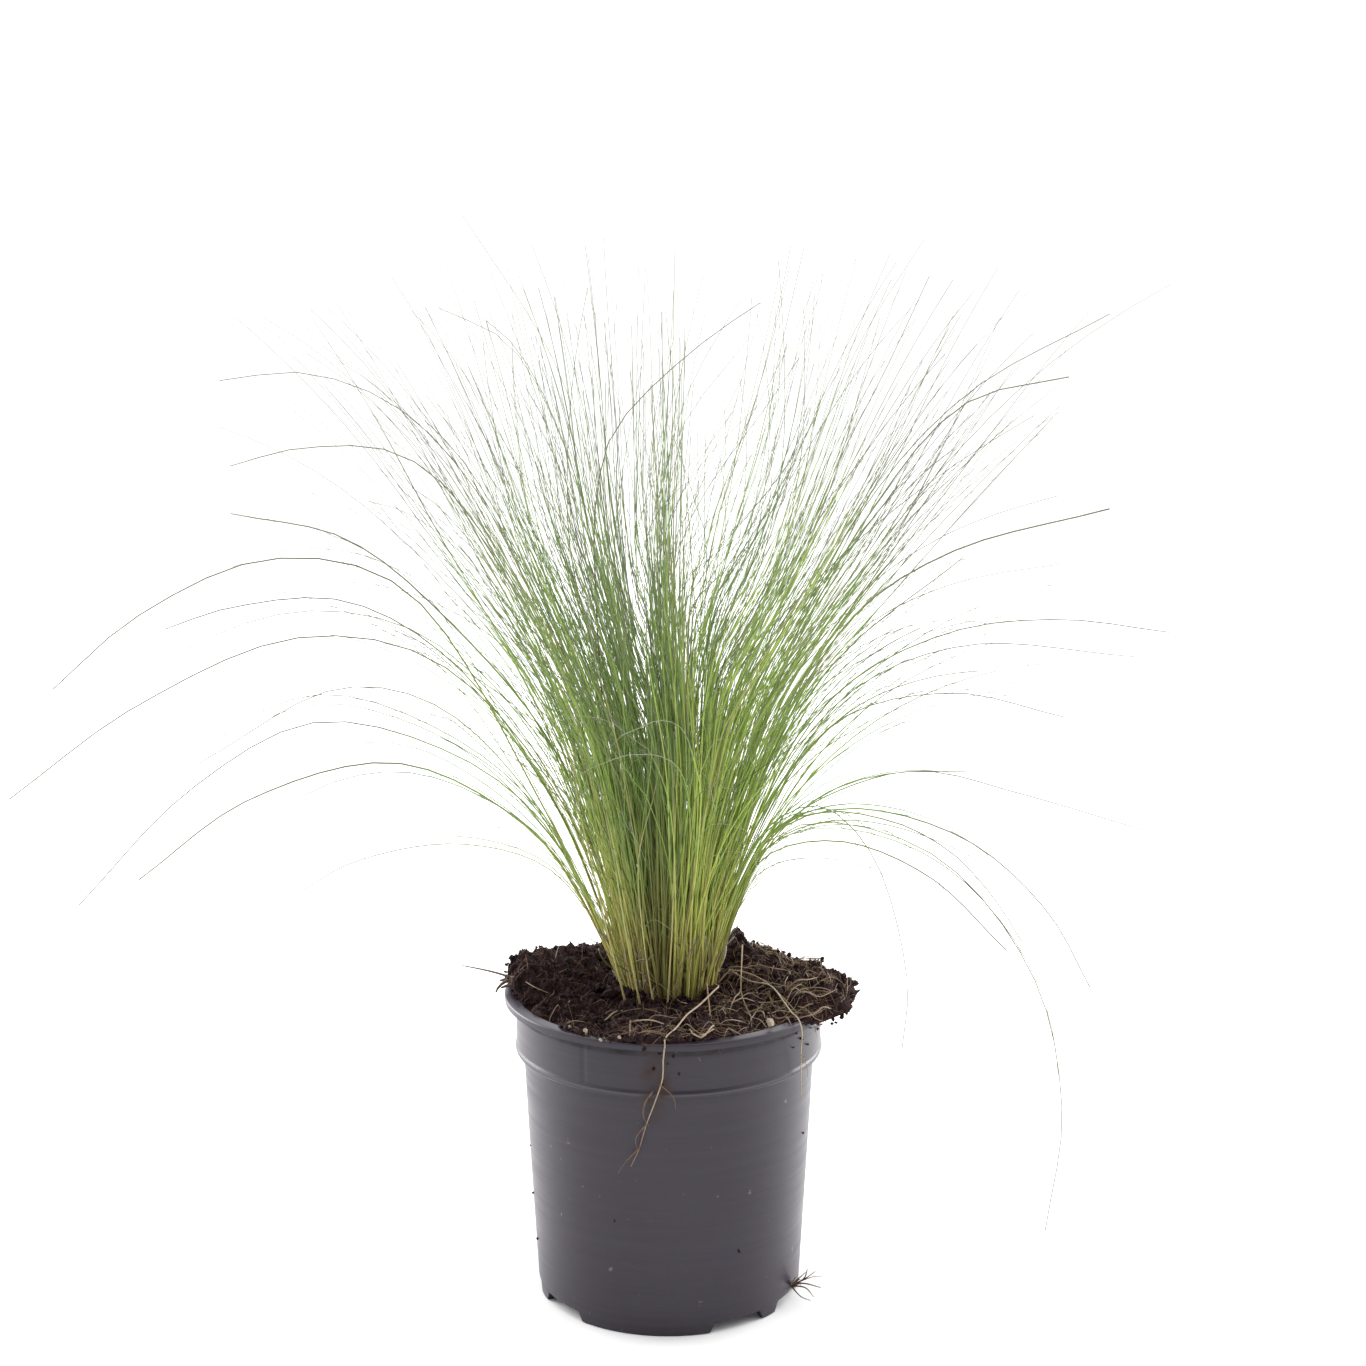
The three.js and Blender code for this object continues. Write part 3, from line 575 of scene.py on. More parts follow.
def grains(places, sizes, rng, subdivisions):
    """Small angular lumps at the given places. Returns their points, faces and owners."""
    seed_mesh = bmesh.new()
    bmesh.ops.create_icosphere(seed_mesh, subdivisions=subdivisions, radius=1)
    ball = np.array([vertex.co for vertex in seed_mesh.verts])
    corners = np.array([[vertex.index for vertex in face.verts] for face in seed_mesh.faces])
    seed_mesh.free()
    count = len(places)
    swell = 1 + rng.uniform(-0.34, 0.34, (count, len(ball), 1))
    stretch = rng.uniform(0.6, 1.35, (count, 1, 3))
    spin, _ = np.linalg.qr(rng.normal(size=(count, 3, 3)))
    lumps = np.einsum("cvi,cij->cvj", ball[None] * swell * stretch, spin)
    points = (lumps * sizes[:, None, None] + places[:, None]).reshape(-1, 3)
    flipped = np.linalg.det(spin) < 0
    both = np.where(flipped[:, None, None], corners[None, :, ::-1], corners[None])
    faces = (both + (np.arange(count) * len(ball))[:, None, None]).reshape(-1, 3).tolist()
    return points, faces, np.repeat(np.arange(count), len(ball))


# ---- materials

class Surface:
    """A node material with one Principled shader, and short ways to add nodes to it."""

    def __init__(self, name, **settings):
        self.material = bpy.data.materials.new(name)
        self.material.use_nodes = True
        self.tree = self.material.node_tree
        self.shader = self.tree.nodes["Principled BSDF"]
        for socket, value in settings.items():
            self.shader.inputs[socket.replace("_", " ")].default_value = value

    def add(self, kind, **inputs):
        node = self.tree.nodes.new(kind)
        for socket, value in inputs.items():
            self.feed(node, socket.replace("_", " "), value)
        return node

    def feed(self, node, socket, value):
        if isinstance(value, bpy.types.NodeSocket):
            self.tree.links.new(value, node.inputs[socket])
        else:
            node.inputs[socket].default_value = value

    def place(self, stretch=(1, 1, 1)):
        """Object coordinates, stretched."""
        coordinates = self.add("ShaderNodeTexCoord").outputs["Object"]
        mapping = self.add("ShaderNodeMapping", Vector=coordinates, Scale=stretch)
        return mapping.outputs["Vector"]

    def noise(self, scale, detail=4, stretch=(1, 1, 1), roughness=0.5):
        node = self.add("ShaderNodeTexNoise", Vector=self.place(stretch), Scale=scale,
                        Detail=detail, Roughness=roughness)
        return node.outputs["Fac"]

    def mark(self, name):
        node = self.add("ShaderNodeAttribute")
        node.attribute_name = name
        return node.outputs["Fac"]

    def math(self, operation, first, second):
        node = self.add("ShaderNodeMath")
        node.operation = operation
        self.feed(node, 0, first)
        self.feed(node, 1, second)
        return node.outputs[0]

    def times(self, first, second):
        return self.math("MULTIPLY", first, second)

    def ramp(self, factor, *stops):
        """Colours or greys by position along a factor from 0 to 1."""
        node = self.add("ShaderNodeValToRGB", Fac=factor)
        ramp = node.color_ramp
        while len(ramp.elements) < len(stops):
            ramp.elements.new(0.5)
        for element, (position, colour) in zip(ramp.elements, stops):
            element.position = position
            grey = isinstance(colour, (int, float))
            element.color = (colour,) * 3 + (1,) if grey else (*colour, 1)
        return node.outputs["Color"]

    def blend(self, factor, first, second, kind="MIX"):
        node = self.add("ShaderNodeMix")
        node.data_type = "RGBA"
        node.blend_type = kind
        self.feed(node, 0, factor)
        for index, colour in ((6, first), (7, second)):
            value = colour if isinstance(colour, bpy.types.NodeSocket) else (*colour, 1)
            self.feed(node, index, value)
        return node.outputs[2]

    def set(self, socket, value):
        self.feed(self.shader, socket, value)

    def bump(self, height, strength, distance):
        node = self.add("ShaderNodeBump", Height=height, Strength=strength, Distance=distance)
        self.set("Normal", node.outputs["Normal"])


def plastic_material():
    """Satin black recycled plastic: faint moulding rings, a painted highlight on the bead, painted shade
    under the lip, specks, a soil smear in front.
    """
    surface = Surface("pot_plastic", IOR=1.45)
    rings = surface.noise(10, 5, (1, 1, 42), 0.6)
    patches = surface.noise(26, 5)
    body = surface.ramp(patches, (0.3, (0.0105, 0.0064, 0.0138)), (0.7, (0.0160, 0.0104, 0.0204)))
    streaked = surface.blend(surface.ramp(rings, (0.35, 0.0), (0.7, 0.5)), body, (0.0240, 0.0170, 0.0300))
    # a painted highlight along the bead
    wear_and_highlight = surface.blend(surface.mark("wear_and_highlight"), streaked, (0.13, 0.12, 0.14))
    # painted shade under the lip: a dark, patchy band on the collar where the lip's shadow falls, also made
    # rougher
    patchy = surface.ramp(surface.noise(70, 3), (0.35, 0.3), (0.65, 0.85))
    lip_shade = surface.times(surface.mark("lip_shade"), patchy)
    lip_shaded = surface.blend(lip_shade, wear_and_highlight, (0.003, 0.002, 0.002))
    dust = surface.ramp(surface.noise(300, 3), (0.715, 0.0), (0.76, 0.8))
    dusty = surface.blend(dust, lip_shaded, (0.10, 0.085, 0.085))

    # the smear is an upright oval patch, whose place is in metres with x stretched
    offset = surface.add("ShaderNodeVectorMath", Vector=surface.place((2.6, 1, 1)))
    offset.operation = "DISTANCE"
    offset.inputs[1].default_value = (-0.013, -0.061, 0.105)
    near = surface.ramp(surface.times(offset.outputs["Value"], 50), (0.45, 1.0), (1.0, 0.0))
    smear = surface.times(near, surface.ramp(surface.noise(130, 4), (0.3, 0.25), (0.6, 1.0)))
    surface.set("Base Color", surface.blend(smear, dusty, (0.034, 0.017, 0.013)))

    dull = surface.ramp(surface.math("MAXIMUM", lip_shade, smear), (0.0, 0.0), (1.0, 0.5))
    surface.set("Roughness", surface.math("ADD", dull, surface.ramp(rings, (0.3, 0.30), (0.75, 0.41))))
    relief = surface.math("ADD", surface.times(rings, 0.8), surface.times(surface.noise(2600, 2), 0.12))
    surface.bump(relief, 0.35, 0.0004)
    return surface.material


def peat_material():
    """Moist peat: nearly black, with red-brown bits. tone runs from dark to brown, then to pale grit."""
    surface = Surface("peat_soil", Roughness=0.95, Specular_IOR_Level=0.2)
    clumps = surface.noise(240, 6, roughness=0.65)
    bits = surface.noise(900, 4, roughness=0.6)
    dark = surface.ramp(clumps, (0.32, (0.0070, 0.0024, 0.0031)), (0.55, (0.0205, 0.0083, 0.0090)),
                        (0.8, (0.072, 0.030, 0.025)))
    brown = surface.ramp(bits, (0.35, (0.016, 0.0070, 0.0056)), (0.75, (0.088, 0.040, 0.027)))
    pale = surface.ramp(bits, (0.3, (0.26, 0.20, 0.15)), (0.7, (0.50, 0.43, 0.34)))
    tone = surface.mark("tone")
    browned = surface.blend(surface.ramp(tone, (0.45, 0.0), (0.95, 1.0)), dark, brown)
    grit = surface.ramp(tone, (0.985, 0.0), (0.99, 1.0))
    surface.set("Base Color", surface.blend(grit, browned, pale))
    surface.bump(surface.math("ADD", surface.times(clumps, 0.6), bits), 1.0, 0.0013)
    return surface.material


def root_material():
    """Dry roots and fibres: tone runs from dark brown to pale straw."""
    surface = Surface("dry_root", Roughness=0.75)
    colour = surface.ramp(surface.mark("tone"), (0.0, (0.030, 0.014, 0.009)), (0.35, (0.13, 0.070, 0.036)),
                          (0.7, (0.26, 0.185, 0.115)), (1.0, (0.42, 0.34, 0.24)))
    # paler patches of real wear on the roots
    wear_and_highlight = surface.ramp(surface.noise(700, 4), (0.35, 0.0), (0.75, 0.6))
    surface.set("Base Color", surface.blend(wear_and_highlight, colour, (0.16, 0.095, 0.055)))
    surface.bump(surface.noise(1800, 3), 0.5, 0.0003)
    return surface.material


def blade_material():
    """Grass blades: straw and olive at the foot, fresh green above, grey-green at the thin tip.

    along is the share of the way to the tip, tone differs from blade to blade, dry is its dryness, and the
    last mark is painted shade and light along with freshness: low for a dull tiller darkened with painted
    shade, high for a fresh, yellow-green one with a painted glow.
    """
    surface = Surface("grass_blade", Roughness=0.42, IOR=1.42)
    along, tone, shading_and_freshness = surface.mark("along"), surface.mark("tone"), surface.mark("shading_and_freshness")
    shifted = surface.math("ADD", along, surface.times(surface.math("SUBTRACT", tone, 0.5), 0.12))
    cool = surface.ramp(
        shifted, (0.00, (0.25, 0.157, 0.077)), (0.07, (0.35, 0.265, 0.098)), (0.18, (0.385, 0.390, 0.106)),
        (0.36, (0.176, 0.298, 0.054)), (0.56, (0.158, 0.270, 0.052)), (0.76, (0.128, 0.216, 0.052)),
        (0.90, (0.124, 0.168, 0.064)), (1.00, (0.118, 0.126, 0.082)))
    warm = surface.ramp(
        shifted, (0.00, (0.32, 0.188, 0.092)), (0.09, (0.58, 0.475, 0.174)), (0.26, (0.58, 0.60, 0.142)),
        (0.50, (0.266, 0.386, 0.062)), (0.74, (0.188, 0.280, 0.060)), (0.90, (0.150, 0.194, 0.070)),
        (1.00, (0.134, 0.140, 0.088)))
    mixed = surface.blend(surface.ramp(tone, (0.3, 0.0), (0.8, 1.0)), cool, warm)
    green = surface.ramp(along, (0.5, 1.0), (0.92, 0.1))
    streaks = surface.ramp(surface.noise(60, 3, (8, 8, 0.5)), (0.35, 0.0), (0.7, 0.35))
    streaked = surface.blend(surface.times(green, streaks), mixed, (0.16, 0.28, 0.045))
    straw = surface.ramp(tone, (0.0, (0.085, 0.050, 0.024)), (0.5, (0.30, 0.21, 0.095)),
                         (1.0, (0.46, 0.36, 0.19)))
    faded = surface.blend(surface.ramp(along, (0.55, 0.0), (1.0, 0.8)), straw, (0.150, 0.140, 0.115))
    coloured = surface.blend(surface.mark("dry"), streaked, faded)
    # painted shade darkens tillers with a low mark, and a painted yellow-green glow lights fresh ones with a
    # high mark
    light = surface.ramp(shading_and_freshness, (0.0, 0.42), (0.5, 0.98), (1.0, 1.0))
    shaded = surface.blend(1.0, coloured, light, "MULTIPLY")
    glow = surface.times(green, surface.ramp(shading_and_freshness, (0.5, 0.0), (1.0, 0.45)))
    surface.set("Base Color", surface.blend(glow, shaded, (0.50, 0.58, 0.10)))
    surface.bump(surface.noise(500, 2, (3, 3, 0.25)), 0.3, 0.0002)
    return surface.material


# ---- pot

def rounded(profile, radius, steps=4):
    """The profile with each inner corner turned into a short curve."""
    points = [np.array(point, float) for point in profile]
    smooth = [points[0]]
    for before, corner, after in zip(points, points[1:], points[2:]):
        back, ahead = before - corner, after - corner
        room = min(radius, np.linalg.norm(back) * 0.45, np.linalg.norm(ahead) * 0.45)
        start = corner + back / np.linalg.norm(back) * room
        end = corner + ahead / np.linalg.norm(ahead) * room
        for share in np.linspace(0, 1, steps):
            smooth.append((1 - share) ** 2 * start + 2 * share * (1 - share) * corner + share**2 * end)
    smooth.append(points[-1])
    return np.array(smooth)


def wall_radius(height):
    """Outside radius of the tapered wall."""
    return BASE_RADIUS + (BODY_TOP_RADIUS - BASE_RADIUS) * height / BODY_TOP


def pot_profile():
    """Half of the pot's section, from the middle of its underside round the lip to the inside."""
    slope_end = CENTRE_FOOT_RADIUS + CENTRE_FOOT_SLOPE
    floor_top = FLOOR_HEIGHT + WALL
    foot_inner = BASE_RADIUS - FOOT_WIDTH
    lip_bottom = LIP_TOP - LIP_HEIGHT
    collar_inner = COLLAR_RADIUS - WALL
    return rounded([
        (0, 0), (CENTRE_FOOT_RADIUS, 0), (slope_end, FLOOR_HEIGHT), (FLOOR_RING, FLOOR_HEIGHT),
        (foot_inner - BEVEL, FLOOR_HEIGHT), (foot_inner, 0), (BASE_RADIUS, 0),
        *((wall_radius(z), z) for z in BODY_RINGS), (BODY_TOP_RADIUS, BODY_TOP),
        (BEAD_RADIUS - BEVEL, BODY_TOP + BEVEL), (BEAD_RADIUS, BEAD_HEIGHT),
        (BEAD_RADIUS - 0.1, BEAD_HEIGHT + 0.7), (COLLAR_RADIUS - BEVEL, COLLAR_BOTTOM),
        (COLLAR_RADIUS - 0.1, COLLAR_RING),
        *((COLLAR_RADIUS, z) for z in (*LIP_SHADE_RINGS, lip_bottom)),
        (LIP_RADIUS, lip_bottom), (LIP_RADIUS, LIP_TOP), (LIP_RADIUS - LIP_WIDTH, LIP_TOP),
        (collar_inner, lip_bottom), (collar_inner - BEVEL, COLLAR_BOTTOM),
        (BODY_TOP_RADIUS - WALL, BODY_TOP + WALL), (BASE_RADIUS - WALL, floor_top), (FLOOR_RING, floor_top),
        (slope_end - WALL / 2, floor_top), (CENTRE_FOOT_RADIUS - WALL / 2, WALL), (0, WALL),
    ], CORNER_RADIUS)


def notch_lift(azimuths):
    """0 where the foot stands, rising to 1 within the notches with slanted sides."""
    lift = np.zeros_like(azimuths)
    for start, end in NOTCHES:
        off = apart(azimuths, (start + end) / 2)
        lift = np.maximum(lift, np.clip(((end - start) / 2 + NOTCH_RAMP / 2 - off) / NOTCH_RAMP, 0, 1))
    return lift


def drain_cutter():
    """Six blocks, one over each drain slot."""
    points, faces = [], []
    corners = [(DRAIN_INNER, DRAIN_BOTTOM), (DRAIN_OUTER, DRAIN_BOTTOM), (DRAIN_OUTER, DRAIN_TOP),
               (DRAIN_INNER, DRAIN_TOP)]
    for start, end in NOTCHES:
        middle = (start + end) / 2
        base = len(points)
        for azimuth in np.linspace(middle - DRAIN_HALF_ANGLE, middle + DRAIN_HALF_ANGLE, 9):
            points += [(*polar(radius, azimuth), height) for radius, height in corners]
        top = len(points) - 4
        for section in range(base, top, 4):
            for j in range(4):
                here, beside = section + j, section + (j + 1) % 4
                faces.append([here, beside, beside + 4, here + 4])
        faces.append([base + 3, base + 2, base + 1, base])
        faces.append([top, top + 1, top + 2, top + 3])
    return add_object("drain_cutter", mesh_of("drain_cutter", points, faces))


def cut(piece, cutter):
    """Takes the cutter's shape out of the piece and removes the cutter."""
    modifier = piece.modifiers.new("cut", "BOOLEAN")
    modifier.operation = "DIFFERENCE"
    modifier.solver = "EXACT"
    modifier.object = cutter
    shaped = piece.evaluated_get(bpy.context.evaluated_depsgraph_get())
    piece.data = bpy.data.meshes.new_from_object(shaped)
    piece.modifiers.clear()
    bpy.data.objects.remove(cutter)


def make_pot(material):
    profile = pot_profile()
    inner = profile[1:-1]
    azimuths = np.arange(POT_SEGMENTS) * 360 / POT_SEGMENTS
    radius = np.repeat(inner[:, 0][None], POT_SEGMENTS, axis=0)
    height = np.repeat(inner[:, 1][None], POT_SEGMENTS, axis=0)
    is_foot = (radius > BASE_RADIUS - FOOT_WIDTH - 2) & (height < NOTCH_HEIGHT)
    lifted = notch_lift(azimuths)[:, None] * NOTCH_HEIGHT
    height = np.where(is_foot, np.maximum(height, lifted), height)
    angle = azimuths[:, None] * DEGREE
    wave = 1 + np.sin(2 * angle + 0.6) * 0.6 + 0.4 * np.sin(5 * angle)
    radius = radius - smooth_step(LIP_WAVE_FROM, LIP_TOP, height) * LIP_WAVE * wave
    on_collar = (radius > COLLAR_RADIUS - 0.9) & (height > COLLAR_BOTTOM) & (height < LIP_TOP - LIP_HEIGHT)
    radius = radius - SEAM_DEPTH * on_collar * (azimuths[:, None] == SEAM_AZIMUTH)
    points = np.stack([radius * np.cos(angle), radius * np.sin(angle), height], axis=-1).reshape(-1, 3)
    points = np.vstack([points, [0, 0, profile[0, 1]], [0, 0, profile[-1, 1]]])
    # a painted highlight along the bead
    from_bead = np.abs(points[:, 2] - BEAD_HEIGHT - 0.2)
    wear_and_highlight = (from_bead < 0.45) & (np.hypot(points[:, 0], points[:, 1]) > BEAD_RADIUS - 0.8)
    # painted shade on the collar just under the lip
    below_lip = LIP_TOP - LIP_HEIGHT - points[:, 2]
    lip_shaded = smooth_step(-0.7, -0.25, below_lip) * (1 - smooth_step(2.9, 4.0, below_lip))
    pot = make_piece("nursery_pot", points, turned_faces(POT_SEGMENTS, len(inner)), material,
                     {"wear_and_highlight": wear_and_highlight * BEAD_HIGHLIGHT, "lip_shade": lip_shaded})
    cut(pot, drain_cutter())
    pot.data.shade_smooth()
    pot.data.set_sharp_from_angle(angle=40 * DEGREE)
    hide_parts("pot")


# ---- soil

def soil_height(x, y):
    """Height of the CAD part's soil surface over points of the plan."""
    height = SOIL_LEVEL + SOIL_MOUND * (1 - (x**2 + y**2) / MOUND_RADIUS**2)
    for hump_x, hump_y, rise, across, along in HUMPS:
        height = height + rise * np.exp(-(((x - hump_x) / across) ** 2) - ((y - hump_y) / along) ** 2)
    wave_x = np.sin(LUMPS["along_x"] * x + LUMPS["swirl"] * np.sin(LUMPS["swirl_along"] * y))
    wave_y = np.cos(LUMPS["along_y"] * y + LUMPS["swirl"] * np.sin(LUMPS["swirl_along"] * x))
    return height + LUMPS["height"] * wave_x * wave_y


def soil_edge(azimuth):
    """Radius of the soil's edge and its share of ledge on an azimuth."""
    off = apart(azimuth, LEDGE_MIDDLE) / LEDGE_HALF_ANGLE
    ledge = np.where(off < 1, np.cos(np.clip(off, 0, 1) * math.pi / 2) ** LEDGE_FULLNESS, 0)
    reach = LEDGE_REACH + sum(depth * np.sin(count * azimuth * DEGREE) for depth, count in LEDGE_RIPPLES)
    spill = sum(reach_out * near_azimuth(azimuth, middle, half) for middle, half, reach_out in SPILLS)
    spill = spill * (1 + 0.2 * np.sin(9 * azimuth * DEGREE) * np.sin(4 * azimuth * DEGREE + 1))
    return SOIL_RADIUS + np.maximum(reach * ledge, spill), ledge


def covered_height(x, y):
    """Height of the soil's surface with the thin cover on the lip."""
    azimuth, radius = np.arctan2(y, x) / DEGREE, np.hypot(x, y)
    edge, _ledge = soil_edge(azimuth)
    covered = smooth_step(60, 61.5, edge)
    inner = LIP_RADIUS - LIP_WIDTH
    cover = LIP_TOP + COVER_HEIGHT - 6 * (1 - covered) - COVER_SLOPE * np.clip(inner - radius, 0, None)
    return np.maximum(soil_height(x, y), cover)


def clod_relief(place):
    """How far clods stand out of the surface at one place: big ones, crumbs on them, and pits."""
    place = Vector(place)

    def lumps(kind, shift=(0, 0, 0)):
        height, pitch = kind
        return height * noise.noise(place * pitch + Vector(shift))

    return (lumps(BIG_LUMPS) + lumps(MIDDLE_LUMPS, (7, 3, 1)) + abs(lumps(SMALL_LUMPS)) + lumps(FINE_LUMPS)
            - LUMP_SINK)


def soil_rows(cos, sin, edge, ledge):
    """Radius and height of each ring of the soil, from its foot in the pot over its edge to the crown.

    Also returns the number of the first ring on top.
    """
    edge_height = covered_height(edge * cos, edge * sin) - RIM_DROP * (0.4 + 1.6 * ledge)
    inner_edge = COLLAR_RADIUS - WALL - SOIL_GAP
    rows = [
        (BASE_RADIUS - WALL - SOIL_GAP, FLOOR_HEIGHT + WALL + 0.5),
        (BODY_TOP_RADIUS - WALL - BODY_GAP, BODY_TOP),
        (inner_edge, LEDGE_UNDERSIDE - LEDGE_TUCK),
    ]
    underside = np.where(edge > inner_edge + 1.5, LIP_TOP + OVER_LIP, LIP_TOP - BELOW_LIP)
    for share in np.linspace(0, 1, SOIL_UNDER_RINGS):
        sag = LEDGE_SAG * (ledge * smooth_step(0.5, 0.7, share))
        rows.append((inner_edge + (edge - inner_edge) * share, underside - sag))
    low = rows[-1][1]
    for share in np.linspace(0.15, 1, SOIL_FACE_RINGS):
        bulge = LEDGE_BULGE * ledge * math.sin(share * math.pi)
        rows.append((edge + bulge, low + (edge_height - low) * share))
    first_on_top = len(rows)
    for share in np.linspace(1, 0, SOIL_TOP_RINGS + 1)[1:-1] ** 0.8:
        reach = edge * share
        dip = CROWN_DIP * smooth_step(*CROWN_DIP_RADII, reach)
        rows.append((reach, covered_height(reach * cos, reach * sin) - dip))
    columns = (np.stack([np.broadcast_to(row[axis], edge.shape) for row in rows], axis=1) for axis in (0, 1))
    return *columns, first_on_top


def make_soil(material):
    azimuths = np.arange(SOIL_SPOKES) * 360 / SOIL_SPOKES
    cos, sin = np.cos(azimuths * DEGREE), np.sin(azimuths * DEGREE)
    edge, ledge = soil_edge(azimuths)
    radius, height, first_on_top = soil_rows(cos, sin, edge, ledge)
    rings = radius.shape[1]
    points = np.stack([radius * cos[:, None], radius * sin[:, None], height], axis=-1).reshape(-1, 3)

    # clods push the top up and the broken face of the ledge out as well
    rough = smooth_step(LEDGE_UNDERSIDE - 3, LEDGE_UNDERSIDE + 2, height)
    relief = np.array([clod_relief(place) for place in points]) * rough.reshape(-1)
    outward = unit(points * [1, 1, 0])
    ring = np.arange(rings)
    on_face = np.tile(np.where((ring >= 5) & (ring < first_on_top + 3), 1.0, 0.0), SOIL_SPOKES)
    on_face *= np.repeat(ledge > 0.05, rings)
    on_face = on_face[:, None]
    points = points + relief[:, None] * (outward * 0.8 * on_face + np.array([0, 0, 1]) * (1 - 0.5 * on_face))
    points = np.vstack([points, [0, 0, height[0, 0]], [0, 0, float(soil_height(0, 0)) - CROWN_DIP]])
    tone = np.array([0.5 + 0.5 * noise.noise(Vector(place) * 0.35) for place in points]) * 0.8
    faces = turned_faces(SOIL_SPOKES, rings)
    soil = make_piece("peat_heap", points, faces, material, {"tone": tone})
    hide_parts("soil")


def on_soil(x, y, lift=0):
    """A place at a height over the clods."""
    height = float(covered_height(x, y))
    return (x, y, height + clod_relief((x, y, height)) + lift)


def on_pot(azimuth, height):
    """A place just outside the pot."""
    radius = wall_radius(height)
    if height > LIP_TOP - LIP_HEIGHT:
        radius = LIP_RADIUS
    elif height > COLLAR_BOTTOM:
        radius = COLLAR_RADIUS
    return (*polar(radius + 0.2, azimuth), height)


def scattered(rng, count, right_share=0.45):
    """Places on the soil outside the crown. right_share of them keep to the right and the front."""
    places = []
    while len(places) < count:
        azimuth = rng.uniform(0, 360)
        edge, ledge = (float(value) for value in soil_edge(np.array(azimuth)))
        radius = edge * math.sqrt(rng.uniform(0.08, 1.03))
        if radius < SKIRT["radius"] and rng.uniform() < SKIRT["loss"]:
            continue
        if rng.uniform() < right_share * (1 - float(near_azimuth(azimuth, *CROWDED_SIDE))):
            continue
        drop = rng.uniform(0, BROKEN_EDGE["depth"]) * ledge if radius > edge - BROKEN_EDGE["width"] else 0
        places.append(on_soil(*polar(radius, azimuth), -drop))
    return np.array(places)


def drawn_sizes(rng, kind):
    return rng.lognormal(math.log(kind["middle"]), kind["spread"], kind["count"]).clip(*kind["limits"])


def make_grains(name, kind, places, sizes, rng, material, pale_count=0):
    """A piece of loose grains, the last pale_count of them grit."""
    points, faces, owner = grains(np.array(places), np.array(sizes), rng, kind["cuts"])
    brownest, power = kind["tone"]
    tone = rng.uniform(0, brownest, len(places)) ** power
    tone[len(places) - pale_count:] = 1
    make_piece(name, points, faces, material, {"tone": tone[owner]}, kind["sharp"])


def make_crumbs(rng, material):
    sizes = drawn_sizes(rng, CRUMBS)
    places = [*scattered(rng, CRUMBS["count"]), *(on_pot(*place) for place in SPILT_CRUMBS),
              *(on_soil(x, y, lift) for x, y, lift, _ in GRIT)]
    sizes = [*sizes, *rng.uniform(*SPILT_SIZES, len(SPILT_CRUMBS)), *(size for *_, size in GRIT)]
    make_grains("soil_crumbs", CRUMBS, places, sizes, rng, material, len(GRIT))


def make_clods(rng, material):
    places = scattered(rng, CLODS["count"], 0.2)
    near_rim = smooth_step(*RIM_CLODS["radii"], np.hypot(places[:, 0], places[:, 1]))
    sizes = drawn_sizes(rng, CLODS) * (1 - RIM_CLODS["loss"] * near_rim)
    count = FOOT_CLODS["count"]
    turns, reaches = rng.uniform(*FOOT_CLODS["azimuths"], count), rng.uniform(*FOOT_CLODS["radii"], count)
    foot = [on_soil(*polar(reach, turn), rng.uniform(*FOOT_CLODS["lifts"]))
            for turn, reach in zip(turns, reaches)]
    sizes = [*sizes, *rng.uniform(*FOOT_CLODS["sizes"], count)]
    make_grains("soil_clods", CLODS, [*places, *foot], sizes, rng, material)


def make_loose_soil(material):
    rng = np.random.default_rng(41)
    make_crumbs(rng, material)
    make_clods(rng, material)


# ---- strands and fibres

def make_roots(name, material, routes, radii, tones, rings, fade=None):
    """A piece of tapering strands. Below the fade's two heights they are half as pale."""
    paths = np.array([curve_through(route, rings) for route in routes])
    along = np.linspace(0, 1, rings)
    widths = np.array(radii)[:, None] * (1 - 0.6 * along**1.5)[None]
    points, faces, _, owner = tubes(paths, widths, 5)
    tone = np.array(tones)[owner]
    if fade:
        tone = tone * np.interp(points[:, 2], fade, [0.5, 1])
    return make_piece(name, points, faces, material, {"tone": tone})


def make_strands(material):
    front = [*(on_soil(*place) for place in FRONT_STRAND_SOIL), *FRONT_STRAND]
    piece = make_roots("root_strand_front", material, [front, *FRONT_BRANCHES], FRONT_RADII, FRONT_TONES,
                       STRAND_RINGS, FRONT_FADE)
    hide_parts("root_front")
    right = [*(on_soil(*place) for place in RIGHT_STRAND_SOIL), *RIGHT_STRAND]
    piece = make_roots("root_strand_right", material, [right, *RIGHT_BRANCHES], RIGHT_RADII, RIGHT_TONES,
                       STRAND_RINGS)
    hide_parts("root_right")


def laid_fibre(rng):
    """A wandering route over the soil, kept inside its edge."""
    (x, y, _), = scattered(rng, 1, 0.975)
    heading, length = rng.uniform(0, 360), rng.uniform(*FIBRES["lengths"])
    route = []
    for step in range(5):
        route.append(on_soil(x, y, FIBRES["lift"] + rng.uniform(0, FIBRES["arch"]) * (0 < step < 4)))
        heading += rng.normal(0, FIBRES["turn"])
        stride = polar(length / 4, heading)
        x, y = x + stride[0], y + stride[1]
        edge = float(soil_edge(np.array(math.atan2(y, x) / DEGREE))[0])
        reach = math.hypot(x, y)
        if reach > edge - 1:
            x, y = x * (edge - 1) / reach, y * (edge - 1) / reach
    return route


def tangled_fibre(rng):
    """A short bowed route over the soil in front of the crown."""
    x, y = rng.uniform(*TANGLE["x"]), rng.uniform(*TANGLE["y"])
    half = rng.uniform(*TANGLE["halves"])
    slant, bow = rng.normal(0, TANGLE["slant"]), rng.normal(0, TANGLE["bow"])
    route = []
    for share in (-1, -0.4, 0.3, 1):
        lift = TANGLE["lift"] + TANGLE["arch"] * rng.uniform() * (abs(share) < 1)
        route.append(on_soil(x + half * share, y + slant * half * share + bow * (1 - share**2), lift))
    return route


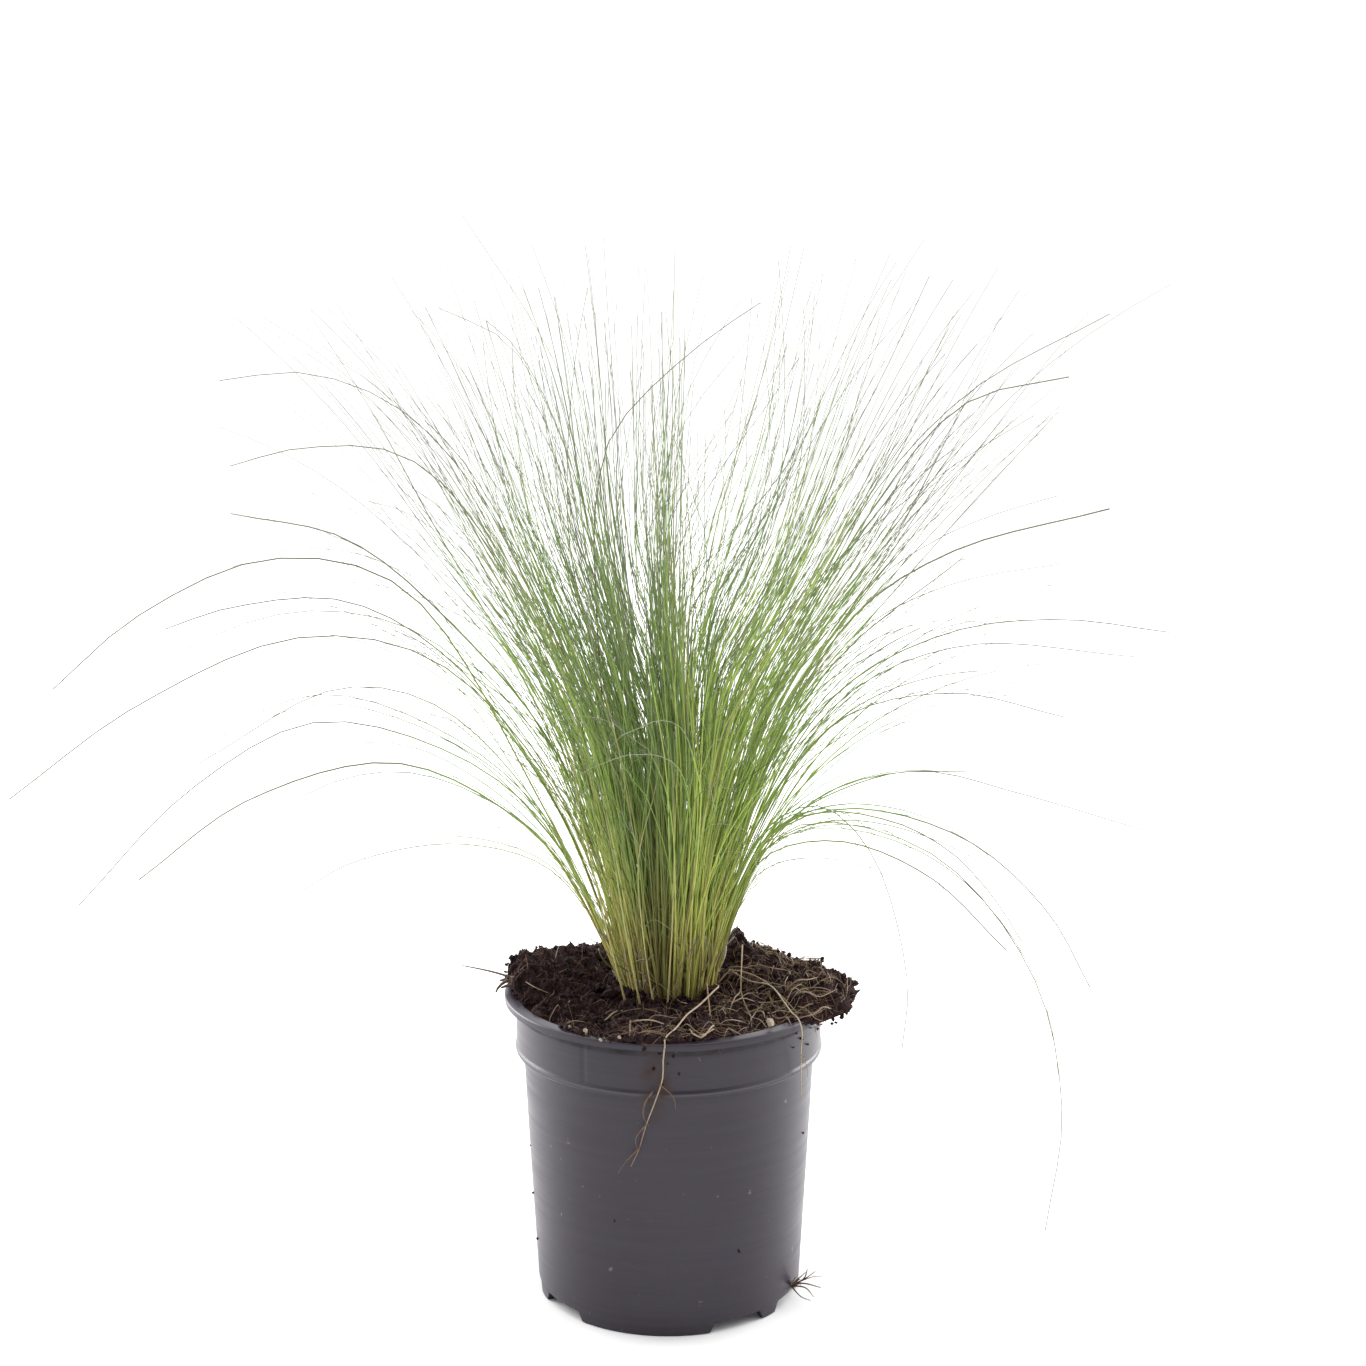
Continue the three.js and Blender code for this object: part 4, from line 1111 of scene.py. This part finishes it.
def make_fibres(rng, material):
    fibres = [([on_soil(*place) for place in route], rng.uniform(0.24, 0.38), rng.uniform(0.55, 1.0))
              for route in SOIL_STRANDS]
    for _ in range(FIBRES["count"]):
        route = laid_fibre(rng)
        if np.linalg.norm(np.array(route[0]) - np.array(route[-1])) < FIBRES["shortest"]:
            continue
        darkness = 0.8 if route[0][0] > FIBRES["pale_from"] else 1.6
        fibres.append((route, 0.07 + 0.2 * rng.uniform() ** 2, rng.uniform() ** darkness))
    for _ in range(TANGLE["count"]):
        fibres.append((tangled_fibre(rng), rng.uniform(0.08, 0.17), rng.uniform(0.3, 0.85)))
    make_roots("soil_fibres", material, *zip(*fibres), FIBRE_RINGS)


def make_fuzz(rng, material):
    """Short thin bits that stick out of the peat."""
    count = FUZZ["count"]
    starts = scattered(rng, count, 0.8)
    leans = unit(rng.normal(size=(count, 3)) + [0, 0, 0.5])
    bends = rng.normal(size=(count, 3)) * FUZZ["bend"]
    lengths = rng.uniform(*FUZZ["lengths"], count)[:, None]
    stations = np.linspace(-0.3, 1, 5)
    paths = np.stack([starts + lengths * (leans * share + bends * share**2) for share in stations], axis=1)
    widths = rng.uniform(*FUZZ["radii"], (count, 1)) * np.array([1, 1, 0.9, 0.7, 0.4])
    points, faces, _, owner = tubes(paths, widths, 3)
    tone = rng.uniform(0, 0.55, count)[owner]
    make_piece("peat_fuzz", points, faces, material, {"tone": tone})


def make_rootlets(rng, material):
    start, count = np.array(DRAIN_ROOT), len(DRAIN_ROOT_ENDS)
    routes = []
    for end in DRAIN_ROOT_ENDS:
        knee = start + (np.array(end, float) - start) * 0.5 + rng.normal(0, 1.3, 3)
        routes.append([start, knee, end])
    radii, tones = rng.uniform(0.22, 0.42, count), rng.uniform(0, 0.5, count)
    make_roots("drain_rootlets", material, routes, radii, tones, 10)


def make_loose_roots(material):
    rng = np.random.default_rng(77)
    make_fibres(rng, material)
    make_fuzz(rng, material)
    make_rootlets(rng, material)
    make_roots("loose_twig", material, [TWIG, *TWIG_STUBS], [0.55, 0.9, 1.0, 0.9], [0.05, 0, 0, 0], 16)


# ---- grass

def cad_shoots(bunch, index):
    """The shoots of a CAD bunch, drawn in the same order as there.

    A shoot is 8 numbers: how far out it stands, its place across the bunch, its sideways drift, the chance
    that picks its kind, and its shares of lean, bend, length and lateness of the bend.
    """
    draw = Draw(BUNCH_SEED * (index + 1))
    count = bunch[2]
    shoots = []
    for i in range(count):
        outward = math.sqrt((i + 0.5) / count)
        spread = (i * GOLDEN_SHARE + draw.between(0, SPREAD_JITTER)) % 1 * TILLERS_PER_BUNCH
        drift = draw.between(-SIDE_DRIFT, SIDE_DRIFT)
        shoots.append([outward, spread, drift, *(draw.next() for _ in range(5))])
    return np.array(shoots)


def tiller_shoots(leaders, rng):
    """The other blades of each tiller, which part from its leader above the sheath."""
    shoots = np.repeat(leaders, BLADES_PER_TILLER, axis=0)
    count = len(shoots)
    shoots[:, 2] += rng.normal(0, TILLER_DRIFT, count)
    other_kind = rng.uniform(0, 1, count) < OTHER_KIND_SHARE
    shoots[:, 3] = np.where(other_kind, rng.uniform(0, 1, count), shoots[:, 3])
    shoots[:, 4:6] = rng.uniform(0, 1, (count, 2))
    shoots[:, 6] = rng.uniform(0, 1, count) ** 0.85
    shoots[:, 7] = rng.uniform(0, 1, count)
    return shoots


def drawn_shoots(rng, count, limits):
    """Shoots drawn at random over the whole wedge, with some columns within their own limits."""
    drawn = rng.uniform(0, 1, (count, 8))
    drawn[:, 1] *= TILLERS_PER_BUNCH
    drawn[:, 2] = (drawn[:, 2] - 0.5) * 0.5
    for column, (low, high) in limits.items():
        drawn[:, column] = rng.uniform(low, high, count)
    return drawn


def bound_to(leaders, followers):
    """Holds the foot of each follower at its leader, from which it parts little by little."""
    lead = np.repeat(leaders, BLADES_PER_TILLER, axis=0)
    rings = leaders.shape[1]

    def travelled(paths):
        return np.linalg.norm(np.diff(paths[:, :2], axis=1), axis=-1) * np.arange(rings)

    beside = at_stations(lead, (travelled(followers) / travelled(lead)[:, 1:2]).clip(0, rings - 1.001))
    free = smooth_step(*TILLER_OPENS, travelled(followers))[..., None]
    offset = (followers[:, :1] - lead[:, :1]).clip(-TILLER_SPREAD, TILLER_SPREAD)
    return (beside + offset) * (1 - free) + followers * free


def shading_and_freshness_of(shoots, bunch, rng):
    """How fresh each shoot is and how much painted shade and light it gets, by its place in the clump; inner
    shoots get more painted shade.
    """
    azimuth = bunch[0] + (bunch[1] - bunch[0]) * shoots[:, 1] / TILLERS_PER_BUNCH
    shading_and_freshness = 0.5 + rng.normal(0, 0.13, len(shoots)) - INNER_SHADE * (1 - shoots[:, 0])
    for middle, half, change in SHADING_AND_FRESHNESS:
        shading_and_freshness = shading_and_freshness + change * near_azimuth(azimuth, middle, 2 * half)
    return shading_and_freshness.clip(0, 1)


def parted(paths):
    """Where shoots come to stand once the tuft has parted, as in the CAD part."""
    x, height = paths[..., 0], paths[..., 2]
    x = x - (WAIST["push"] * smooth_step(*WAIST["places"], x)
             * smooth_step(*WAIST["rises"], height) * (1 - smooth_step(*WAIST["ends"], height)))
    side = np.tanh((x - PARTING_X) / PARTING_SOFTNESS)
    west = PARTING_WEST["push"] * smooth_step(*PARTING_WEST["heights"], height) * (1 - side) / 2
    east = PARTING_EAST["push"] * smooth_step(*PARTING_EAST["heights"], height) * (1 + side) / 2
    return np.stack([x + east - west, paths[..., 1], height], axis=-1)


def shoot_paths(shoots, bunch, looseness, rng, lowest, highest):
    """Paths of drawn shoots. A shoot that would leave the box is drawn shorter.

    looseness is 0 for one that keeps to the drawn path, and 1 for one that strays from it freely.
    """
    count = len(shoots)
    outward, spread, drift, chance, lean_share, bend_share, length_share, power_share = shoots.T
    tiller = np.floor(spread)
    across = (tiller + 0.5 + TILLER_WIDTH * (spread - tiller - 0.5)) / TILLERS_PER_BUNCH
    across_end = np.clip(across + drift, -0.25, 1.25)
    start = within((SHOOT_INNER_RADIUS, SHOOT_RADIUS), outward)
    upright = (outward < OUTER_ZONE) | (chance < UPRIGHT_SHARE)
    arching = ~upright & (chance < ARCHING_SHARE)

    def pick(key, shares):
        return np.where(upright, within(UPRIGHT[key], shares),
                        np.where(arching, within(ARCHING[key], shares), within(DROOPING[key], shares)))

    middle = (bunch[0] + bunch[1]) / 2 * DEGREE
    east = max(0, math.cos(middle)) * start / SHOOT_RADIUS
    lean = pick("lean", lean_share) + np.where(upright, UPRIGHT["lean_out"] * outward, 0) + EAST_LEAN * east
    lean = lean + rng.normal(0, LOOSE["lean"], count) * looseness
    bend = pick("bend", bend_share) * np.where(upright, 0.3 + 0.9 * outward**2, 1)
    bend = bend * (1 - EAST_BEND_LOSS * east)
    length = pick("length", length_share)
    power = within(LATE_BEND, power_share)
    phases = rng.uniform(0, 2 * math.pi, (2, count))[..., None]
    sways = rng.uniform(0.2, 1, (2, count))[..., None] * (0.5 + LOOSE["sway"] * looseness)
    splay = np.tan(rng.normal(0, LOOSE["splay"], count) * DEGREE)[:, None] * looseness
    curl = rng.normal(0, LOOSE["curl"], count)[:, None] * looseness
    root_shift = rng.normal(0, TILLER_SPREAD, (2, count))[..., None] * looseness
    steps = (np.arange(PATH_STEPS) + 0.5) / PATH_STEPS
    along = np.arange(PATH_STEPS + 1) / PATH_STEPS
    tilt = (lean[:, None] + bend[:, None] * steps ** power[:, None]) * DEGREE
    share = across[:, None] + (across_end - across)[:, None] * along**1.5
    nothing = np.zeros((count, 1))
    for _ in range(SHORTENINGS):
        stride = (length / PATH_STEPS)[:, None]
        radius = start[:, None] + np.hstack([nothing, np.cumsum(stride * np.sin(tilt), axis=1)])
        height = ROOT_HEIGHT + np.hstack([nothing, np.cumsum(stride * np.cos(tilt), axis=1)])
        margin = np.arcsin(SIDE_ROOM / radius)
        azimuth = within((bunch[0] * DEGREE + margin, bunch[1] * DEGREE - margin), share)
        swing = sways[0] * along**1.3 * np.sin(phases[0] + 5 * along)
        swing = swing + length[:, None] * (splay * along**1.2 + curl * along**3) + root_shift[0]
        radius = radius + sways[1] * along**1.3 * np.sin(phases[1] + 4 * along) + root_shift[1]
        paths = parted(np.stack([radius * np.cos(azimuth) - swing * np.sin(azimuth),
                                 radius * np.sin(azimuth) + swing * np.cos(azimuth), height], axis=-1))
        outside = ((paths < lowest) | (paths > highest)).any(axis=(1, 2))
        if not outside.any():
            break
        length = np.where(outside, length * SHORTENED, length)
    return paths[:, ::PATH_STEPS // (BLADE_RINGS - 1)]


def long_blade_path(azimuth, through):
    crest = max(height for _, height in through)
    lowness = (LONG_BLADE_TOP - crest) / (LONG_BLADE_TOP - LONG_BLADE_LOW)
    stations = [(within(LONG_BLADE_ROOTS, lowness), ROOT_HEIGHT), *through]
    return curve_through([(*polar(radius, azimuth), height) for radius, height in stations], BLADE_RINGS)


def spire_paths(bunch, rng):
    """Blades that go nearly straight up from the crown and fill the middle of the parted tuft to a point."""
    azimuth = rng.uniform(bunch[0] + 4, bunch[1] - 4, SPIRES) * DEGREE
    root = rng.uniform(*SPIRE_ROOTS, SPIRES)
    start = np.stack([root * np.cos(azimuth), root * np.sin(azimuth), np.full(SPIRES, ROOT_HEIGHT)], axis=-1)
    x = rng.normal(*SPIRE_SPREAD, SPIRES).clip(*SPIRE_PLACES)
    z = SPIRE_TOP - SPIRE_SLOPE * np.abs(x - 1) - rng.uniform(0, SPIRE_SHORTER, SPIRES)
    tip = np.stack([x, rng.normal(0, SPIRE_DEPTH, SPIRES), z], axis=-1)
    middle = start + (tip - start) * 0.5 + rng.normal(0, 2.5, (SPIRES, 3))
    middle[:, :2] += (start - tip)[:, :2] * 0.12
    return np.array([curve_through(route, BLADE_RINGS) for route in np.stack([start, middle, tip], axis=1)])


def beside_arcs(arcs, rng):
    """Thinner blades that each follow a long blade at a little distance, and end sooner."""
    arcs = np.repeat(arcs, ARC_COMPANIONS, axis=0)
    count, rings, _ = arcs.shape
    paths = at_stations(arcs, rng.uniform(0.55, 0.95, count)[:, None] * np.arange(rings))
    along = np.linspace(0, 1, rings)
    turn = rng.normal(0, 7, (count, 1)) * DEGREE * along
    lift = 1 + rng.normal(0, 0.07, (count, 1)) * along
    x = paths[..., 0] * np.cos(turn) - paths[..., 1] * np.sin(turn)
    y = paths[..., 0] * np.sin(turn) + paths[..., 1] * np.cos(turn)
    z = ROOT_HEIGHT + (paths[..., 2] - ROOT_HEIGHT) * lift
    return np.stack([x, y, z.clip(None, LONG_BLADE_TOP)], axis=-1)


def open_gaps(paths):
    """Pushes what stands near a gap to its two sides."""
    x, height = paths[..., 0], paths[..., 2]
    opening = smooth_step(*GAP_OPENS, height) * (1 - smooth_step(*GAP_CLOSES, height))
    push = np.zeros_like(x)
    for place, half_width in GAPS:
        off = x - place
        push += half_width * np.tanh(off / 0.7) * np.exp(-((off / GAP_REACH) ** 2)) * opening
    moved = paths.copy()
    moved[..., 0] += push
    return moved


def blade_widths(count, rng, thin=1.0, tip=TIP_SHARE):
    """Radius at each ring: stout at the foot, even along the blade, and drawn out to a fine tip."""
    along = np.linspace(0, 1, BLADE_RINGS)
    foot = np.exp(-((along / 0.16) ** 2)) * (BLADE_FOOT_RADIUS - BLADE_RADIUS)
    taper = 1 - (1 - tip) * smooth_step(0.45, 1.0, along)
    scale = rng.uniform(0.75, 1.25, (count, 1)) * thin
    return (foot + BLADE_RADIUS * taper) * scale


def sheaths(leaders, rng):
    """Paths and radii of the sheaths round the foot of each leading blade, and the share of it they wrap."""
    along = np.linspace(0, 1, SHEATH_RINGS)
    reach = rng.uniform(3.5, 7.5, len(leaders))
    paths = at_stations(leaders, along[None] * reach[:, None])
    taper = 1 - 0.55 * along**1.5
    radii = SHEATH_RADIUS * rng.uniform(0.7, 1.15, (len(leaders), 1)) * taper
    return paths, radii, reach / (BLADE_RINGS - 1)


def kind_of(paths, rng, thin, tip, dry, tone, power=1):
    """Paths, widths, dryness and tone of one kind of blade. dry and tone are ranges to draw from."""
    count = len(paths)
    widths = blade_widths(count, rng, thin, tip)
    return np.array(paths), widths, rng.uniform(*dry, count) ** power, rng.uniform(*tone, count)


def blades_of(bunch, index, box, rng):
    """Paths, widths, dryness, tone and painted shading with freshness of all blades of a bunch. Its leading
    blades come first.
    """
    leaders = cad_shoots(bunch, index)
    lead_paths = shoot_paths(leaders, bunch, 0.1, rng, *box)
    fine_paths = shoot_paths(tiller_shoots(leaders, rng), bunch, 1.0, rng, *box)
    fine_paths = bound_to(lead_paths, fine_paths)
    wisps = drawn_shoots(rng, WISPS, {OUTWARD: (0.8, 1), CHANCE: (UPRIGHT_SHARE, 1), LENGTH: (0.6, 1)})
    wisp_paths = shoot_paths(wisps, bunch, 1.3, rng, *box)
    spires = spire_paths(bunch, rng)
    stumps = drawn_shoots(rng, STUMPS, {OUTWARD: (0.7, 1), LENGTH: STUMP_LENGTHS})
    stumps[:, CHANCE] = 0
    stump_paths = shoot_paths(stumps, bunch, 1.0, rng, *box)

    lead_tone = rng.uniform(0, 1, len(leaders))
    fine_tone = np.repeat(lead_tone, BLADES_PER_TILLER) + rng.normal(0, 0.2, len(fine_paths))
    kinds = [
        (lead_paths, blade_widths(len(leaders), rng), rng.uniform(0, 1, len(leaders)) ** 12, lead_tone),
        (fine_paths, blade_widths(len(fine_paths), rng), rng.uniform(0, 1, len(fine_paths)) ** 14,
         fine_tone.clip(0, 1)),
        kind_of(wisp_paths, rng, 0.8, 0.5, (0.1, 0.8), (0, 0.6)),
        kind_of(spires, rng, 1.1, TIP_SHARE, (0, 1), (0.1, 0.9), 5),
        kind_of(stump_paths, rng, 1.5, 0.9, (0.7, 1), (0, 0.75)),
    ]
    lead_shading_and_freshness = shading_and_freshness_of(leaders, bunch, rng)
    arcs = [long_blade_path(*blade) for blade in LONG_BLADES if bunch[0] <= blade[0] < bunch[1]]
    if arcs:
        paths, widths, dry, tone = kind_of(arcs, rng, 1.5, 0.75, (0, 0.35), (0, 0.5))
        slight = 1 - TALL_ARC_LOSS * smooth_step(TALL_ARC, LONG_BLADE_TOP, paths[:, :, 2].max(axis=1))
        kinds.append((paths, widths * slight[:, None], dry, tone))
        kinds.append(kind_of(beside_arcs(paths, rng).clip(*box), rng, 1.2, 0.6, (0, 0.35), (0, 0.6)))
    if index == FRONT_BUNCH:
        thickness, dry, tone, routes = zip(*SINGLES)
        widths = blade_widths(len(SINGLES), rng, 1.0, 0.5) * np.array(thickness)[:, None]
        kinds.append(([curve_through(route, BLADE_RINGS) for route in routes], widths, dry, tone))
    if index in FAINT_BLADES:
        faint = [curve_through(route, BLADE_RINGS) for route in FAINT_BLADES[index]]
        kinds.append(kind_of(faint, rng, 0.6, 0.6, (0, 0.35), (0, 0.4)))

    paths, widths, dry, tone = (np.concatenate(parts) for parts in zip(*kinds))
    shading_and_freshness = np.full(len(paths), 0.5)
    tillered = np.concatenate([lead_shading_and_freshness, np.repeat(lead_shading_and_freshness, BLADES_PER_TILLER)])
    shading_and_freshness[:len(tillered)] = tillered
    return paths, widths, dry, tone, shading_and_freshness


def make_grass(material):
    for index, bunch in enumerate(BUNCHES):
        rng = np.random.default_rng(500 + index)
        node = f"tiller_bunch_{index + 1}"
        lowest, highest = (np.array(corner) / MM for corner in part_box(node))
        lowest, highest = lowest - BOX_ROOM, highest + BOX_ROOM
        lowest[2], highest[2] = LOWEST_TIP, min(highest[2], HIGHEST_TIP)
        paths, widths, dry, tone, shading_and_freshness = blades_of(bunch, index, (lowest, highest), rng)
        turns = rng.uniform(0, 2 * math.pi, len(paths))
        points, faces, along, owner = tubes(open_gaps(paths), widths, BLADE_SIDES, 0.7, turns)
        faded = 0.5 * smooth_step(*FADE_RADII, np.hypot(points[:, 0], points[:, 1]))
        marks = [(along + faded).clip(0, 1), tone[owner], dry[owner], shading_and_freshness[owner]]

        wrapped, radii, reach = sheaths(paths[:bunch[2]], rng)
        pale = rng.uniform(0, 1, bunch[2]) ** 3 * 0.6
        more_points, more_faces, share, owner = tubes(wrapped, radii, 6, 0.8)
        more_marks = [share * reach[owner], tone[owner], pale[owner], shading_and_freshness[owner]]
        faces += [[corner + len(points) for corner in face] for face in more_faces]
        marks = {mark: np.concatenate(parts)
                 for mark, *parts in zip(("along", "tone", "dry", "shading_and_freshness"), marks, more_marks)}
        piece = make_piece(f"grass_tillers_{index + 1}", np.vstack([points, more_points]), faces, material,
                           marks)
        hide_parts(node)


# ---- stage

def make_floor():
    half = FLOOR_SIZE / 2
    mesh = bpy.data.meshes.new("floor")
    mesh.from_pydata([(-half, -half, 0), (half, -half, 0), (half, half, 0), (-half, half, 0)], [],
                     [[0, 1, 2, 3]])
    colour = (FLOOR_GREY,) * 3 + (1,)
    surface = Surface("pale_floor", Base_Color=colour, Roughness=0.7, Specular_IOR_Level=0.2)
    mesh.materials.append(surface.material)
    floor = add_object("floor", mesh)


def make_studio():
    """White walls all round, dimmer at the front, and soft boxes behind the plant's two sides."""
    world = bpy.data.worlds.new("studio")
    world.use_nodes = True
    nodes, links = world.node_tree.nodes, world.node_tree.links
    direction = nodes.new("ShaderNodeTexCoord")
    split = nodes.new("ShaderNodeSeparateXYZ")
    shade = nodes.new("ShaderNodeMapRange")
    shade.interpolation_type = "SMOOTHSTEP"
    settings = {"From Min": -0.95, "From Max": -0.1, "To Min": FRONT_LIGHT, "To Max": WALL_LIGHT}
    for socket, value in settings.items():
        shade.inputs[socket].default_value = value
    links.new(direction.outputs["Generated"], split.inputs[0])
    links.new(split.outputs["Y"], shade.inputs["Value"])
    links.new(shade.outputs["Result"], nodes["Background"].inputs["Strength"])
    nodes["Background"].inputs["Color"].default_value = (1, 1, 1, 1)
    bpy.context.scene.world = world

    for name, place, size, power in SOFT_BOXES:
        light = bpy.data.lights.new(name, "AREA")
        light.shape = "SQUARE"
        light.size = size
        light.energy = power
        lamp = add_object(name, light)
        lamp.location = place
        aim = Vector(SOFT_BOX_AIM) - lamp.location
        lamp.rotation_euler = aim.to_track_quat("-Z", "Y").to_euler()


def make_camera():
    camera = bpy.data.cameras.new("camera")
    camera.sensor_width = CAMERA_SENSOR
    camera.lens = CAMERA_LENS
    camera.clip_end = CAMERA_REACH
    stand = add_object("camera", camera)
    stand.location = CAMERA_PLACE
    stand.rotation_euler = ((90 - CAMERA_DIP) * DEGREE, 0, 0)
    bpy.context.scene.camera = stand


make_camera()
make_floor()
make_studio()
peat, root = peat_material(), root_material()
make_pot(plastic_material())
make_soil(peat)
make_loose_soil(peat)
make_strands(root)
make_loose_roots(root)
make_grass(blade_material())

bpy.context.scene.view_settings.view_transform = "Standard"
